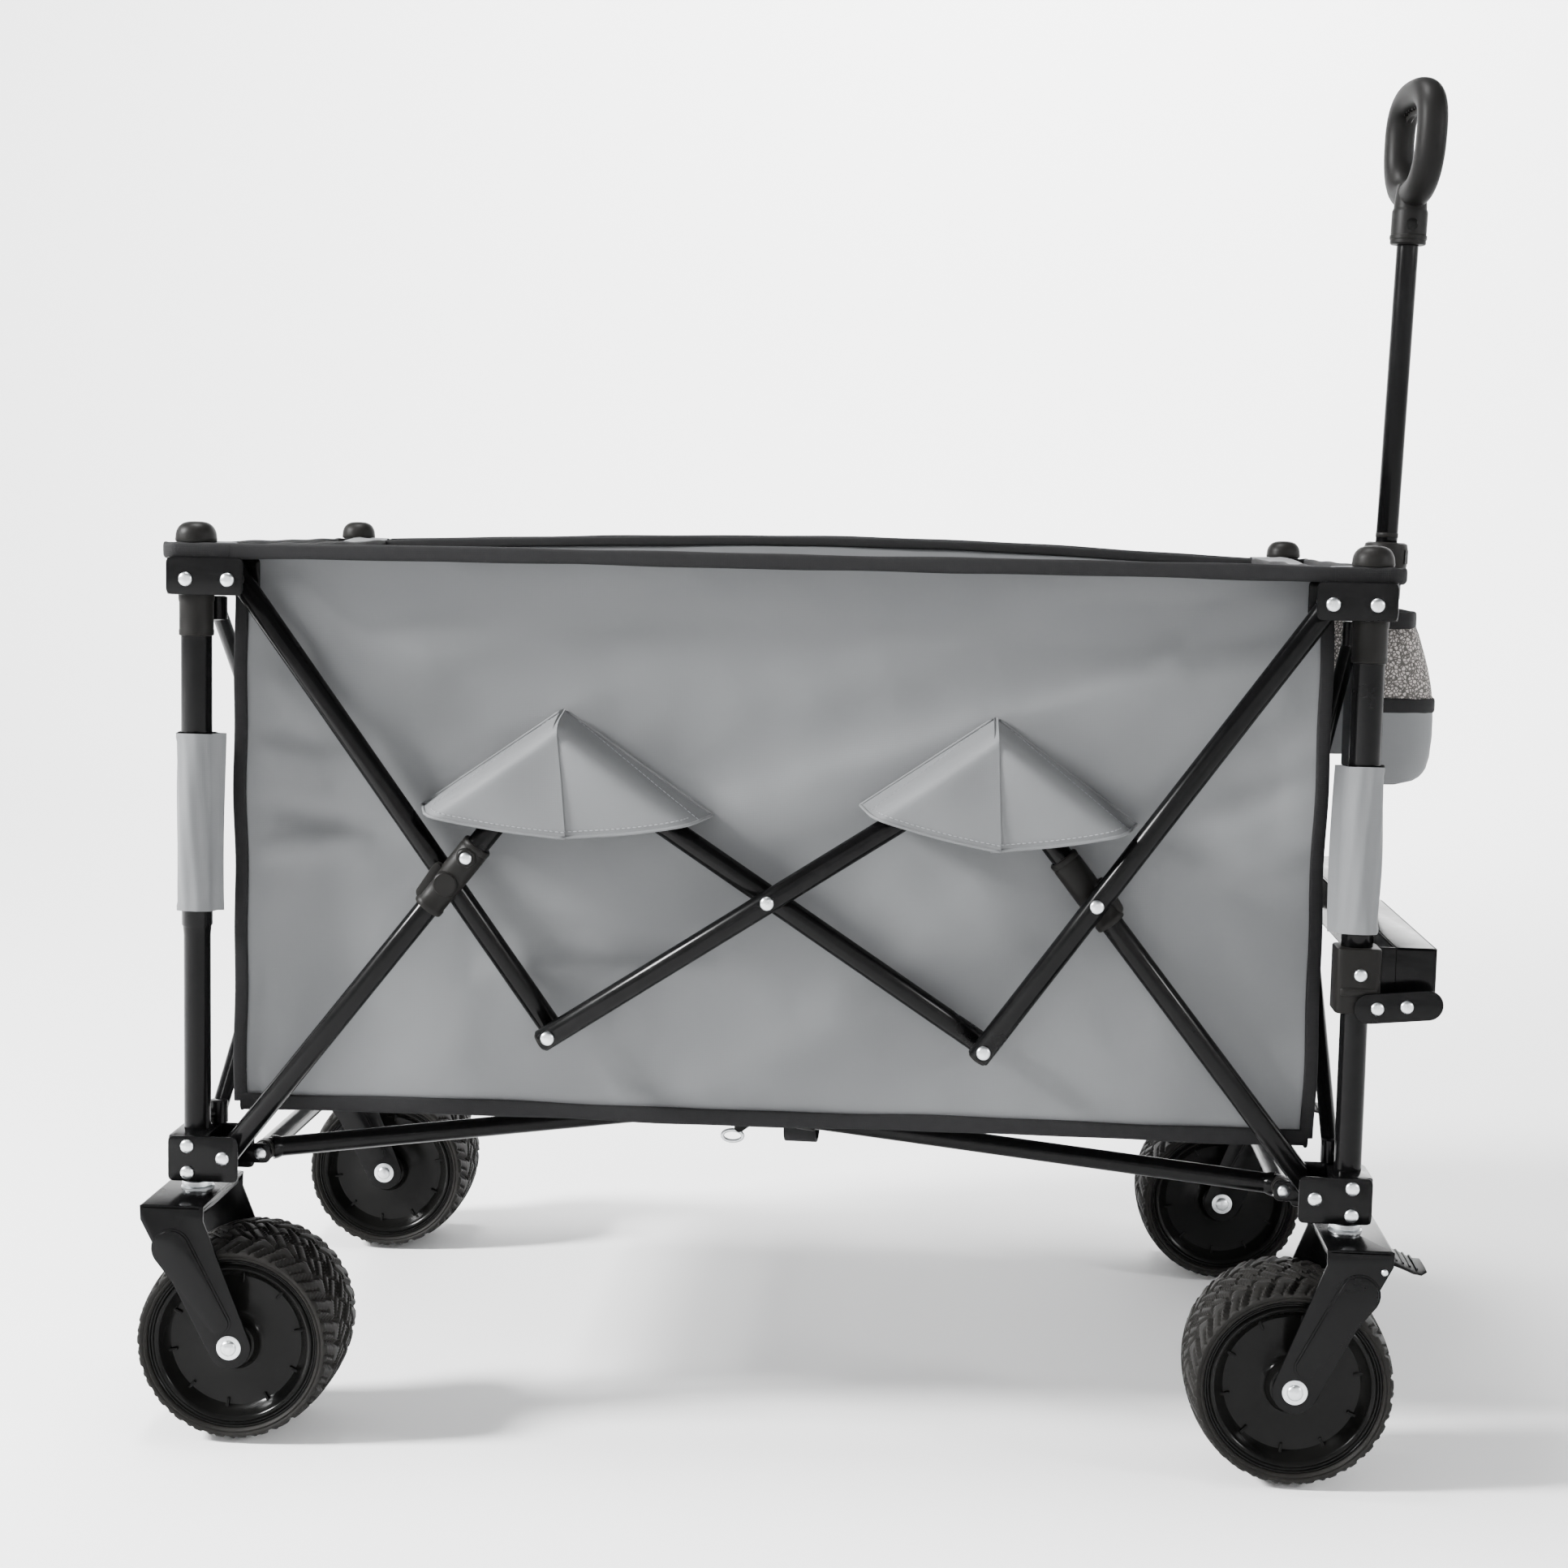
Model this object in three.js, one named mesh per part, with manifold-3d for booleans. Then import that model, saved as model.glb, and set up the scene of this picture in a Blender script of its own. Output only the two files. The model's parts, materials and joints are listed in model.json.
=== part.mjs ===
// Folding wagon with a pull handle: powder-coated steel frame, fabric basket, four all-terrain wheels.
// Millimetres, +Z up, +X towards the pull handle, -Y is the near long side, the ground is z = 0.
import * as THREE from "three";
import { mergeVertices } from "three/addons/utils/BufferGeometryUtils.js";
import Module from "manifold-3d";

const kernel = await Module();
kernel.setup();

// Driving sizes
const LENGTH = 900; // corner post axis to corner post axis, along X
const WIDTH = 547; // corner post axis to corner post axis, along Y
const WHEEL_R = 79;
const WHEEL_W = 102;
const CROWN_GAP = 32; // fork crown's top face over the tyre
const CROWN = 2 * WHEEL_R + CROWN_GAP; // top face of the fork crowns: the frame's heights count from it
const POST_TOP = CROWN + 499.5; // top end of a corner post
const POST_BOTTOM = CROWN + 19; // bottom end of a corner post
const POST_R = 12; // upper, wider tube of a corner post
const POST_LOW_R = 10.5; // lower tube of a corner post
const POST_STEP = CROWN + 210; // height where the wider tube ends
const POST_BORE_R = 8.5; // bore of the post
const BAR_R = 9; // scissor bar radius
const BAR_END = 10; // bar length past its end pivot
const PIN_R = 3; // rivet shank
const HOLE_R = 3.35; // rivet hole in a turning bar
const HEAD_R = 6.5; // rivet head
const TOP_PIVOT_Z = CROWN + 482; // scissor pivots in the top brackets
const TOP_PIVOT_GAP = 19.05; // from the post axis to the turning end of the bar
const TOP_PIVOT_IN = TOP_PIVOT_GAP + Math.hypot(BAR_END, BAR_R); // pivot from the post axis
const LOW_PIVOT_Z = CROWN + 31; // scissor pivots in the bottom brackets
const LOW_PIVOT_GAP = 14.55;
const LOW_PIVOT_IN = LOW_PIVOT_GAP + Math.hypot(BAR_END, BAR_R);
const KNEE_X = LENGTH * 0.1867; // low and high knees of the scissor, from the middle
const KNEE_LOW_Z = CROWN + 134;
const KNEE_HIGH_Z = CROWN + 354.5;
const OUTER_LAYER = BAR_R + 6.5; // outer bar layer, outside the post axis
const INNER_LAYER = BAR_R - 1.5; // inner bar layer, inside the post axis
const BRACKET_Y = 2 * BAR_R + 11; // outer face of a bracket, outside the post axis
const PLATE = 2.5; // pressed steel plate of the brackets
const RIM_LOW = POST_TOP + 0.7; // fabric rim, under and upper face
const RIM_HIGH = RIM_LOW + 8.8;
const RIM_OUT_X = 18; // rim past the post axis
const RIM_OUT_Y = 16;
const WALL_IN_X = 30; // basket end wall, inside the post axis
const WALL_IN_Y = 2 * BAR_R + 5; // basket side wall, inside the post axis
const CLOTH = 7; // padded cloth wall
const FLOOR_Z = CROWN + 60; // underside of the basket
const KNOB_R = 16.5;
const KNOB_TOP = RIM_HIGH + 17;
const RIM_R = 67;
const AXLE_R = 5;
const TRAIL = 41; // wheel axle, inside the post axis
const FORK_W = 50;
const FORK_T = 3; // fork leg thickness
const FORK_IN = WHEEL_W / 2 + 3.5; // inner face of a fork leg from the wheel's middle
const STEM_R = 6;
const CROSS_X = 44; // handle crossbar, outside the front post axis
const CROSS_Z = CROWN + 202; // handle pivot height
const HANDLE_LEAN = 1.6; // degrees, forwards
const TUBE_R = 12; // handle's lower tube
const SLEEVE_TOP = 326; // top of its collar above the pivot
const ROD_R = 9.2; // handle's upper rod
const ROD_TOP = 582; // rod's top above the pivot
const GRIP_LOW = 576; // grip's neck, above the pivot
const GRIP_TOP = 714; // top of the grip loop
const GRIP_W = 112; // outer width of the grip loop
const LOOP_R = 12.5; // grip loop thickness, as a radius
const GRIP_YAW = 10; // degrees that the loop is turned round its rod
const FLOOR_PIVOT_IN = 45; // floor frame pivot, inside the post axis
const FLOOR_PIVOT_Z = CROWN + 24;
const FLOOR_MID_Z = CROWN + 38; // floor frame bars at the middle, just under the basket
const FLOOR_R = 8;
const LANE_REAR = 50; // rear floor frame's bars from the middle line, at the middle
const LANE_FRONT = 112; // front floor frame's bars, outside them
const POCKET_INNER = 46; // front pocket, from the middle line
const POCKET_SIDE = 47.5; // front pocket, inside the post axis
const POCKET_LOW = CROWN + 340;
const POCKET_HIGH = CROWN + 474;

const px = LENGTH / 2;
const py = WIDTH / 2;

const black = { color: "#0e0e0f", metalness: 0.1, roughness: 0.35 };
const plastic = { color: "#1c1b1a", metalness: 0, roughness: 0.45 };
const rubber = { color: "#202020", metalness: 0, roughness: 0.85 };
const cloth = { color: "#9a9c9e", metalness: 0, roughness: 0.95 };
const meshCloth = { color: "#2a2a2c", metalness: 0, roughness: 0.95 };

const wagon = new THREE.Group();
wagon.name = "wagon";

// One three.js geometry as a solid of the joining kernel.
function solid(geometry) {
  const plain = new THREE.BufferGeometry();
  const flat = geometry.index ? geometry.toNonIndexed() : geometry;
  plain.setAttribute("position", flat.getAttribute("position"));
  const merged = mergeVertices(plain, 1e-4);
  const mesh = new kernel.Mesh({
    numProp: 3,
    vertProperties: merged.attributes.position.array,
    triVerts: new Uint32Array(merged.index.array),
  });
  return new kernel.Manifold(mesh);
}

// Joins geometries, then cuts others away.
function build(parts, cuts = []) {
  let whole = parts.map(solid).reduce((a, b) => a.add(b));
  for (const c of cuts) whole = whole.subtract(solid(c));
  const mesh = whole.getMesh();
  const out = new THREE.BufferGeometry();
  out.setAttribute("position", new THREE.BufferAttribute(new Float32Array(mesh.vertProperties), 3));
  out.setIndex(new THREE.BufferAttribute(new Uint32Array(mesh.triVerts), 1));
  return out;
}

function add(name, geometry, look) {
  const mesh = new THREE.Mesh(geometry, new THREE.MeshStandardMaterial({ ...look }));
  mesh.name = name;
  wagon.add(mesh);
  return mesh;
}

function block(x0, x1, y0, y1, z0, z1) {
  const g = new THREE.BoxGeometry(Math.abs(x1 - x0), Math.abs(y1 - y0), Math.abs(z1 - z0));
  return g.translate((x0 + x1) / 2, (y0 + y1) / 2, (z0 + z1) / 2);
}

// Round bar from one point to another.
function rod(from, to, radius, sides = 14) {
  const a = new THREE.Vector3(...from);
  const b = new THREE.Vector3(...to);
  const way = b.clone().sub(a);
  const g = new THREE.CylinderGeometry(radius, radius, way.length(), sides);
  const turn = new THREE.Quaternion().setFromUnitVectors(new THREE.Vector3(0, 1, 0), way.normalize());
  return g.applyQuaternion(turn).translate(...a.add(b).multiplyScalar(0.5).toArray());
}

// Closed outline turned about the Y axis; the points are [radius, y] and run against the clock.
function turned(points, sides) {
  const list = [...points, points[0]].map(([r, y]) => new THREE.Vector2(r, y));
  return new THREE.LatheGeometry(list, sides);
}

// Extruded outline in the XZ plane, from y0 to y1.
function plate(points, y0, y1) {
  const shape = new THREE.Shape(points.map(([x, z]) => new THREE.Vector2(x, z)));
  const g = new THREE.ExtrudeGeometry(shape, { depth: y1 - y0, bevelEnabled: false });
  return g.rotateX(Math.PI / 2).translate(0, y1, 0);
}

// Outline of a strap with a round end at each of two points.
function strap(a, b, ra, rb, steps = 6) {
  const way = Math.atan2(b[1] - a[1], b[0] - a[0]);
  const points = [];
  for (let i = 0; i <= steps; i++) {
    const t = way - Math.PI / 2 + (Math.PI * i) / steps;
    points.push([b[0] + rb * Math.cos(t), b[1] + rb * Math.sin(t)]);
  }
  for (let i = 0; i <= steps; i++) {
    const t = way + Math.PI / 2 + (Math.PI * i) / steps;
    points.push([a[0] + ra * Math.cos(t), a[1] + ra * Math.sin(t)]);
  }
  return points;
}

// Side scissor: pivots as [x, z], seen from outside with the rear end on the left.
const pivots = {
  rearTop: [-px + TOP_PIVOT_IN, TOP_PIVOT_Z],
  rearLow: [-px + LOW_PIVOT_IN, LOW_PIVOT_Z],
  frontTop: [px - TOP_PIVOT_IN, TOP_PIVOT_Z],
  frontLow: [px - LOW_PIVOT_IN, LOW_PIVOT_Z],
  kneeLowA: [-KNEE_X, KNEE_LOW_Z],
  kneeHighA: [-KNEE_X, KNEE_HIGH_Z],
  kneeLowB: [KNEE_X, KNEE_LOW_Z],
  kneeHighB: [KNEE_X, KNEE_HIGH_Z],
  middle: [0, (KNEE_LOW_Z + KNEE_HIGH_Z) / 2],
};

// Where the lines a-b and c-d cross.
function crossing(a, b, c, d) {
  const r = [b[0] - a[0], b[1] - a[1]];
  const s = [d[0] - c[0], d[1] - c[1]];
  const k = ((c[0] - a[0]) * s[1] - (c[1] - a[1]) * s[0]) / (r[0] * s[1] - r[1] * s[0]);
  return [a[0] + r[0] * k, a[1] + r[1] * k];
}
pivots.crossA = crossing(pivots.rearTop, pivots.kneeLowA, pivots.rearLow, pivots.kneeHighA);
pivots.crossB = crossing(pivots.frontTop, pivots.kneeLowB, pivots.frontLow, pivots.kneeHighB);

const yOuter = -(py + OUTER_LAYER);
const yInner = -(py - INNER_LAYER);

// Scissor bar between two pivots; holes take a rivet of a neighbour, pins are its own rivets.
function bar(from, to, y, holes, pins) {
  const way = new THREE.Vector2(to[0] - from[0], to[1] - from[1]).normalize();
  const a = [from[0] - way.x * BAR_END, y, from[1] - way.y * BAR_END];
  const b = [to[0] + way.x * BAR_END, y, to[1] + way.y * BAR_END];
  const pieces = [rod(a, b, BAR_R, 10)];
  for (const [p, y0, y1, r] of pins) pieces.push(rod([p[0], y0, p[1]], [p[0], y1, p[1]], r, 10));
  const cuts = holes.map((p) => rod([p[0], y - 20, p[1]], [p[0], y + 20, p[1]], HOLE_R, 10));
  return build(pieces, cuts);
}

const headOut = yOuter - BAR_R - 3;
const headIn = yInner + BAR_R + 2.5;

// A rivet standing on an inner bar that goes through the outer bar and ends in a head.
function throughPin(p) {
  return [
    [p, yInner, headOut + 1.5, PIN_R],
    [p, yOuter - BAR_R - 0.6, headOut, HEAD_R],
  ];
}

// A rivet standing on an outer bar that goes through the inner bar and ends in a head inside.
function inwardPin(p) {
  return [
    [p, yOuter, headIn - 1, PIN_R],
    [p, yInner + BAR_R + 0.6, headIn, HEAD_R],
    [p, yOuter, headOut, HEAD_R],
  ];
}

// A rivet head on the outer bar alone.
function faceHead(p) {
  return [[p, yOuter, headOut, HEAD_R]];
}

// One long side; turn 0 is the near side, turn 1 is the same frame turned half round for the far side.
function sideFrame(turn) {
  const side = turn ? "far" : "near";
  const rear = turn ? "front" : "rear";
  const front = turn ? "rear" : "front";
  const set = (name, g) => add(name, turn ? g.rotateZ(Math.PI) : g, black);
  const p = pivots;
  set(`bar_${side}_${rear}_high`, bar(p.rearTop, p.kneeLowA, yInner, [p.rearTop], throughPin(p.kneeLowA)));
  set(`bar_${side}_${rear}_low`, bar(p.rearLow, p.kneeHighA, yOuter, [p.rearLow], inwardPin(p.kneeHighA)));
  set(`bar_${side}_${rear}_middle_down`, bar(p.kneeHighA, p.kneeLowB, yInner, [p.kneeHighA], []));
  const middleHead = faceHead(p.middle);
  set(`bar_${side}_${rear}_middle_up`, bar(p.kneeLowA, p.kneeHighB, yOuter, [p.kneeLowA], middleHead));
  set(`bar_${side}_${front}_low`, bar(p.frontLow, p.kneeHighB, yInner, [p.frontLow], []));
  const ends = [...faceHead(p.kneeLowB), ...faceHead(p.crossB)];
  set(`bar_${side}_${front}_high`, bar(p.frontTop, p.kneeLowB, yOuter, [p.frontTop], ends));
  set(`collar_${side}_${rear}`, collar(p.rearLow, p.kneeHighA, p.crossA, yOuter));
  set(`collar_${side}_${front}`, collar(p.frontLow, p.kneeHighB, p.crossB, yInner));
}

// Moulded collar that slides on a bar where the outer bars cross.
function collar(from, to, at, y) {
  const way = new THREE.Vector2(to[0] - from[0], to[1] - from[1]).normalize();
  const along = (d) => [at[0] + way.x * d, y, at[1] + way.y * d];
  const outside = y < -py ? -1 : 1;
  const boss = [at[0] + way.x * 4, at[1] + way.y * 4];
  const rivet = [at[0] + way.x * 30, at[1] + way.y * 30];
  const pieces = [
    rod(along(-22), along(42), BAR_R + 2.9, 12),
    rod([boss[0], y, boss[1]], [boss[0], y + outside * (BAR_R + 5.5), boss[1]], 9, 14),
    rod([rivet[0], y, rivet[1]], [rivet[0], y + outside * (BAR_R + 5), rivet[1]], 6, 12),
  ];
  return build(pieces, [rod(along(-60), along(80), BAR_R + 0.4, 12)]);
}

// The four corners: mirrored copies of one set of pieces, sx and sy are -1 or 1.
function corners(make) {
  for (const [end, sx] of [["rear", -1], ["front", 1]])
    for (const [side, sy] of [["near", -1], ["far", 1]]) make(end, side, sx, sy);
}

// Corner post: a wide upper tube on a narrower lower tube.
function post(sx, sy) {
  const outline = [
    [POST_BORE_R, POST_BOTTOM],
    [POST_LOW_R, POST_BOTTOM],
    [POST_LOW_R, POST_STEP],
    [POST_R, POST_STEP],
    [POST_R, POST_TOP],
    [POST_BORE_R, POST_TOP],
  ];
  return turned(outline, 16).rotateX(Math.PI / 2).translate(sx * px, sy * py, 0);
}

// Bracket: a block round the post, an outer and an inner plate, and the rivet that a scissor bar turns on.
function bracket(sx, sy, z0, z1, pivotIn, pivotZ, radius, inLayer) {
  const x = sx * px;
  const out = sy * (py + BRACKET_Y);
  const into = sy * (py - WALL_IN_Y + 1.2);
  const tip = sx * (px - pivotIn - 12);
  const pivotX = sx * (px - pivotIn);
  const pieces = [
    block(x + sx * 16, x - sx * 13.8, sy * (py - 18), out, z0, z1),
    block(x + sx * 8, tip, out, out - sy * PLATE, z0, z1),
    block(x - sx * 8, tip, into, into + sy * PLATE, z0, z1),
    block(x - sx * 8, x - sx * 13.8, into, sy * (py - 10), z0, z1),
    rod([pivotX, into + sy, pivotZ], [pivotX, out + sy * 1.5, pivotZ], PIN_R, 12),
    rod([pivotX, out - sy, pivotZ], [pivotX, out + sy * 2.2, pivotZ], HEAD_R, 12),
    rod([x, out - sy, pivotZ], [x, out + sy * 2.2, pivotZ], HEAD_R, 12),
  ];
  const far = inLayer ? yInner : yOuter;
  const washer = Math.abs(far) - BAR_R - 0.6;
  const washerOut = Math.abs(far) + BAR_R + 0.6;
  if (inLayer) pieces.push(rod([pivotX, sy * washerOut, pivotZ], [pivotX, out - sy, pivotZ], 5.5, 12));
  else pieces.push(rod([pivotX, sy * washer, pivotZ], [pivotX, into + sy, pivotZ], 5.5, 12));
  return { pieces, cuts: [rod([x, sy * py, z0 - 5], [x, sy * py, z1 + 5], radius + 0.25, 20)] };
}

function innerLayerAt(end, side, high) {
  const turnedEnd = side === "near" ? end : end === "rear" ? "front" : "rear";
  return high ? turnedEnd === "rear" : turnedEnd === "front";
}

corners((end, side, sx, sy) => {
  add(`post_${end}_${side}`, post(sx, sy), black);
  const topInner = innerLayerAt(end, side, true);
  const topLow = POST_TOP - 29.5;
  const topHigh = POST_TOP - 0.5;
  const top = bracket(sx, sy, topLow, topHigh, TOP_PIVOT_IN, TOP_PIVOT_Z, POST_R, topInner);
  add(`top_bracket_${end}_${side}`, build(top.pieces, top.cuts), black);
  const inner = innerLayerAt(end, side, false);
  const low = bracket(sx, sy, CROWN + 12, CROWN + 48, LOW_PIVOT_IN, LOW_PIVOT_Z, POST_LOW_R, inner);
  // closed foot under the post, bored for the fork's stem
  const capTop = POST_BOTTOM - 0.3;
  const stemCap = block(sx * (px + 14), sx * (px - 14), sy * (py - 14), sy * (py + 14), CROWN + 9, capTop);
  low.pieces.push(stemCap);
  low.cuts.push(rod([sx * px, sy * py, CROWN], [sx * px, sy * py, CROWN + 25], STEM_R + 0.35, 16));
  // ear that carries the end of the floor frame
  const earX = sx * (px - FLOOR_PIVOT_IN);
  const earY = sy * (py - WALL_IN_Y + 1.2);
  low.pieces.push(block(sx * (px - 20), earX - sx * 8, earY, earY + sy * PLATE, CROWN + 16, CROWN + 32));
  low.pieces.push(rod([earX, earY + sy, FLOOR_PIVOT_Z], [earX, earY - sy * 12, FLOOR_PIVOT_Z], 4, 12));
  add(`bottom_bracket_${end}_${side}`, build(low.pieces, low.cuts), black);
  // mushroom cap whose stem goes through the fabric rim into the post
  const cap = [
    [0.01, POST_TOP - 14],
    [5, POST_TOP - 14],
    [5, RIM_HIGH + 0.4],
    [KNOB_R - 1, RIM_HIGH + 0.4],
    [KNOB_R, RIM_HIGH + 5],
    [KNOB_R - 2.5, RIM_HIGH + 11.5],
    [KNOB_R - 8, KNOB_TOP - 1.5],
    [0.01, KNOB_TOP],
  ];
  const knob = new THREE.LatheGeometry(cap.map(([r, z], i) => new THREE.Vector2(i % 7 ? r : 0, z)), 14);
  add(`knob_${end}_${side}`, knob.rotateX(Math.PI / 2).translate(sx * px, sy * py, 0), plastic);
});
for (const turn of [0, 1]) sideFrame(turn);

// Crossed brace of each end, between the corner posts.
for (const [end, sx] of [["rear", -1], ["front", 1]]) {
  const x = sx * (px - 10);
  const y = py - WALL_IN_Y - 1;
  const high = TOP_PIVOT_Z - 24;
  const low = LOW_PIVOT_Z + 25;
  const brace = build([
    rod([x, -y, high], [x, y, low], 7, 8),
    rod([x, y, high], [x, -y, low], 7, 8),
    rod([x, -y, high - 8], [x, -y, high + 10], 7.5, 8),
    rod([x, y, high - 8], [x, y, high + 10], 7.5, 8),
    rod([x, -y, low - 6], [x, -y, low + 10], 7.5, 8),
    rod([x, y, low - 6], [x, y, low + 10], 7.5, 8),
  ]);
  add(`end_brace_${end}`, brace, black);
}

// Floor frames: each turns on a cross tube at its own end.
// The bars meet at the middle in separate lanes.
for (const [end, sx, lane] of [["rear", -1, LANE_REAR], ["front", 1, LANE_FRONT]]) {
  const x = sx * (px - FLOOR_PIVOT_IN);
  const y = py - WALL_IN_Y - 1;
  const corner = y - 15;
  const tip = -sx * 4;
  const pieces = [
    rod([x, -y, FLOOR_PIVOT_Z], [x, y, FLOOR_PIVOT_Z], FLOOR_R, 10),
    rod([x, -corner, FLOOR_PIVOT_Z], [tip, -lane, FLOOR_MID_Z], FLOOR_R, 10),
    rod([x, corner, FLOOR_PIVOT_Z], [tip, lane, FLOOR_MID_Z], FLOOR_R, 10),
  ];
  if (end === "rear") pieces.push(rod([0, -lane, FLOOR_MID_Z], [0, lane, FLOOR_MID_Z], FLOOR_R, 10));
  const socketAt = (s) => rod([x, s * (y + 1), FLOOR_PIVOT_Z], [x, s * (y - 14), FLOOR_PIVOT_Z], 4.3, 12);
  const sockets = [-1, 1].map(socketAt);
  add(`floor_frame_${end}`, build(pieces, sockets), black);
}

// Wheel sets
corners((end, side, sx, sy) => {
  const axleX = sx * (px - TRAIL);
  const stemX = sx * px;
  const y = sy * py;
  const w = WHEEL_W / 2;
  const tyre = [
    [RIM_R, -w + 3],
    [RIM_R + 5, -w],
    [WHEEL_R - 5, -w],
    [WHEEL_R, -w + 11],
    [WHEEL_R, w - 11],
    [WHEEL_R - 5, w],
    [RIM_R + 5, w],
    [RIM_R, w - 3],
  ];
  add(`tyre_${end}_${side}`, turned(tyre, 24).translate(axleX, y, WHEEL_R), rubber);
  const disc = [
    [AXLE_R + 0.3, -w + 1],
    [16, -w + 1],
    [18, -w + 5],
    [44, -w + 15],
    [58, -w + 5],
    [RIM_R - 0.4, -w + 3],
    [RIM_R - 0.4, w - 3],
    [58, w - 5],
    [44, w - 15],
    [18, w - 5],
    [16, w - 1],
    [AXLE_R + 0.3, w - 1],
  ];
  add(`wheel_${end}_${side}`, turned(disc, 24).translate(axleX, y, WHEEL_R), plastic);
  const crownX = stemX + sx * 4;
  const half = FORK_W / 2;
  const leg = [
    [crownX - half, CROWN],
    ...strapEnd([crownX, CROWN - 14], [axleX, WHEEL_R], half, 17),
    [crownX + half, CROWN],
  ];
  const outer = FORK_IN + FORK_T;
  const legs = [-1, 1].map((s) => {
    const inFace = y + s * FORK_IN;
    const outFace = y + s * outer;
    return plate(leg, Math.min(inFace, outFace), Math.max(inFace, outFace));
  });
  const fork = [
    ...legs,
    block(crownX - half, crownX + half, y - outer, y + outer, CROWN - 4, CROWN),
    rod([stemX, y, CROWN - 2], [stemX, y, CROWN + 17], STEM_R, 16),
    rod([stemX, y, CROWN - 2], [stemX, y, CROWN + 7.5], 13, 16),
    rod([axleX, y - outer - 4.5, WHEEL_R], [axleX, y + outer + 4.5, WHEEL_R], AXLE_R, 16),
    rod([axleX, y - outer - 4.5, WHEEL_R], [axleX, y - FORK_IN, WHEEL_R], 9, 6),
    rod([axleX, y + outer + 4.5, WHEEL_R], [axleX, y + FORK_IN, WHEEL_R], 9, 6),
  ];
  // bore under the crown that the brake pedal of a front wheel turns in
  const brakeX = stemX + sx * 22;
  const brakeZ = CROWN - 16;
  const cuts = end === "front" ? [rod([brakeX, y - 80, brakeZ], [brakeX, y + 80, brakeZ], 2.9, 10)] : [];
  add(`fork_${end}_${side}`, build(fork, cuts), black);
  if (end === "rear") return;
  // brake pedal: a cross shaft between the fork legs with a foot plate in front
  const shaft = FORK_IN + FORK_T + 1;
  const pedal = [
    rod([brakeX, y - shaft, brakeZ], [brakeX, y + shaft, brakeZ], 2.5, 10),
    block(brakeX - 5, brakeX + 5, y - 30, y + 30, brakeZ - 4, brakeZ + 5),
    plate(strap([brakeX, brakeZ], [brakeX + sx * 34, brakeZ - 9], 5, 5), y - 26, y + 26),
  ];
  add(`brake_pedal_${end}_${side}`, build(pedal), plastic);
});

// Lower outline of a fork leg: from the crown's near corner round the axle and back.
function strapEnd(top, low, ra, rb) {
  const way = Math.atan2(low[1] - top[1], low[0] - top[0]);
  const points = [[top[0] - ra, top[1]]];
  for (let i = 0; i <= 8; i++) {
    const t = way - Math.PI / 2 + (Math.PI * i) / 8;
    points.push([low[0] + rb * Math.cos(t), low[1] + rb * Math.sin(t)]);
  }
  points.push([top[0] + ra, top[1]]);
  return points;
}

// Crossbar in front of the front posts that carries the pull handle.
{
  const x = px + CROSS_X;
  const z0 = CROSS_Z - 22;
  const z1 = CROSS_Z + 20;
  const y = py + 4;
  const pieces = [];
  const cuts = [];
  for (const s of [-1, 1]) {
    pieces.push(block(px - 17, px + 17, s * (py - 17), s * (py + 17), z0 - 8, z1));
    pieces.push(block(px + 10, x + 16, s * (py + 4), s * (py + 4 - PLATE), z0, z1));
    const plateLow = s > 0 ? py + 4 : -py - 7;
    pieces.push(plate(strap([px + 8, z0 - 6], [x + 6, z0 - 2], 11, 11), plateLow, plateLow + 3));
    cuts.push(rod([px, s * py, z0 - 20], [px, s * py, POST_STEP], POST_LOW_R + 0.25, 20));
    cuts.push(rod([px, s * py, POST_STEP - 0.3], [px, s * py, z1 + 20], POST_R + 0.25, 20));
  }
  // pressed channel, open to the front
  pieces.push(block(x - 16, x + 16, -y, y, z1 - PLATE, z1));
  pieces.push(block(x - 16, x + 16, -y, y, z0, z0 + PLATE));
  pieces.push(block(x - 16, x - 16 + PLATE, -y, y, z0, z1));
  // two cheeks with the handle's pivot
  for (const s of [-1, 1]) pieces.push(block(x - 16, x + 16, s * 16, s * 19, z0, z1));
  pieces.push(rod([x, -17, CROSS_Z], [x, 17, CROSS_Z], 4, 12));
  // slot so the handle's tube can swing up and forwards
  cuts.push(block(x - 13.4, x + 40, -14.5, 14.5, CROSS_Z + 5, z1 + 10));
  cuts.push(block(x - 13.4, x - 20, -14.5, 14.5, CROSS_Z + 5, z1 + 10));
  add("handle_crossbar", build(pieces, cuts), black);
}

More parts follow.
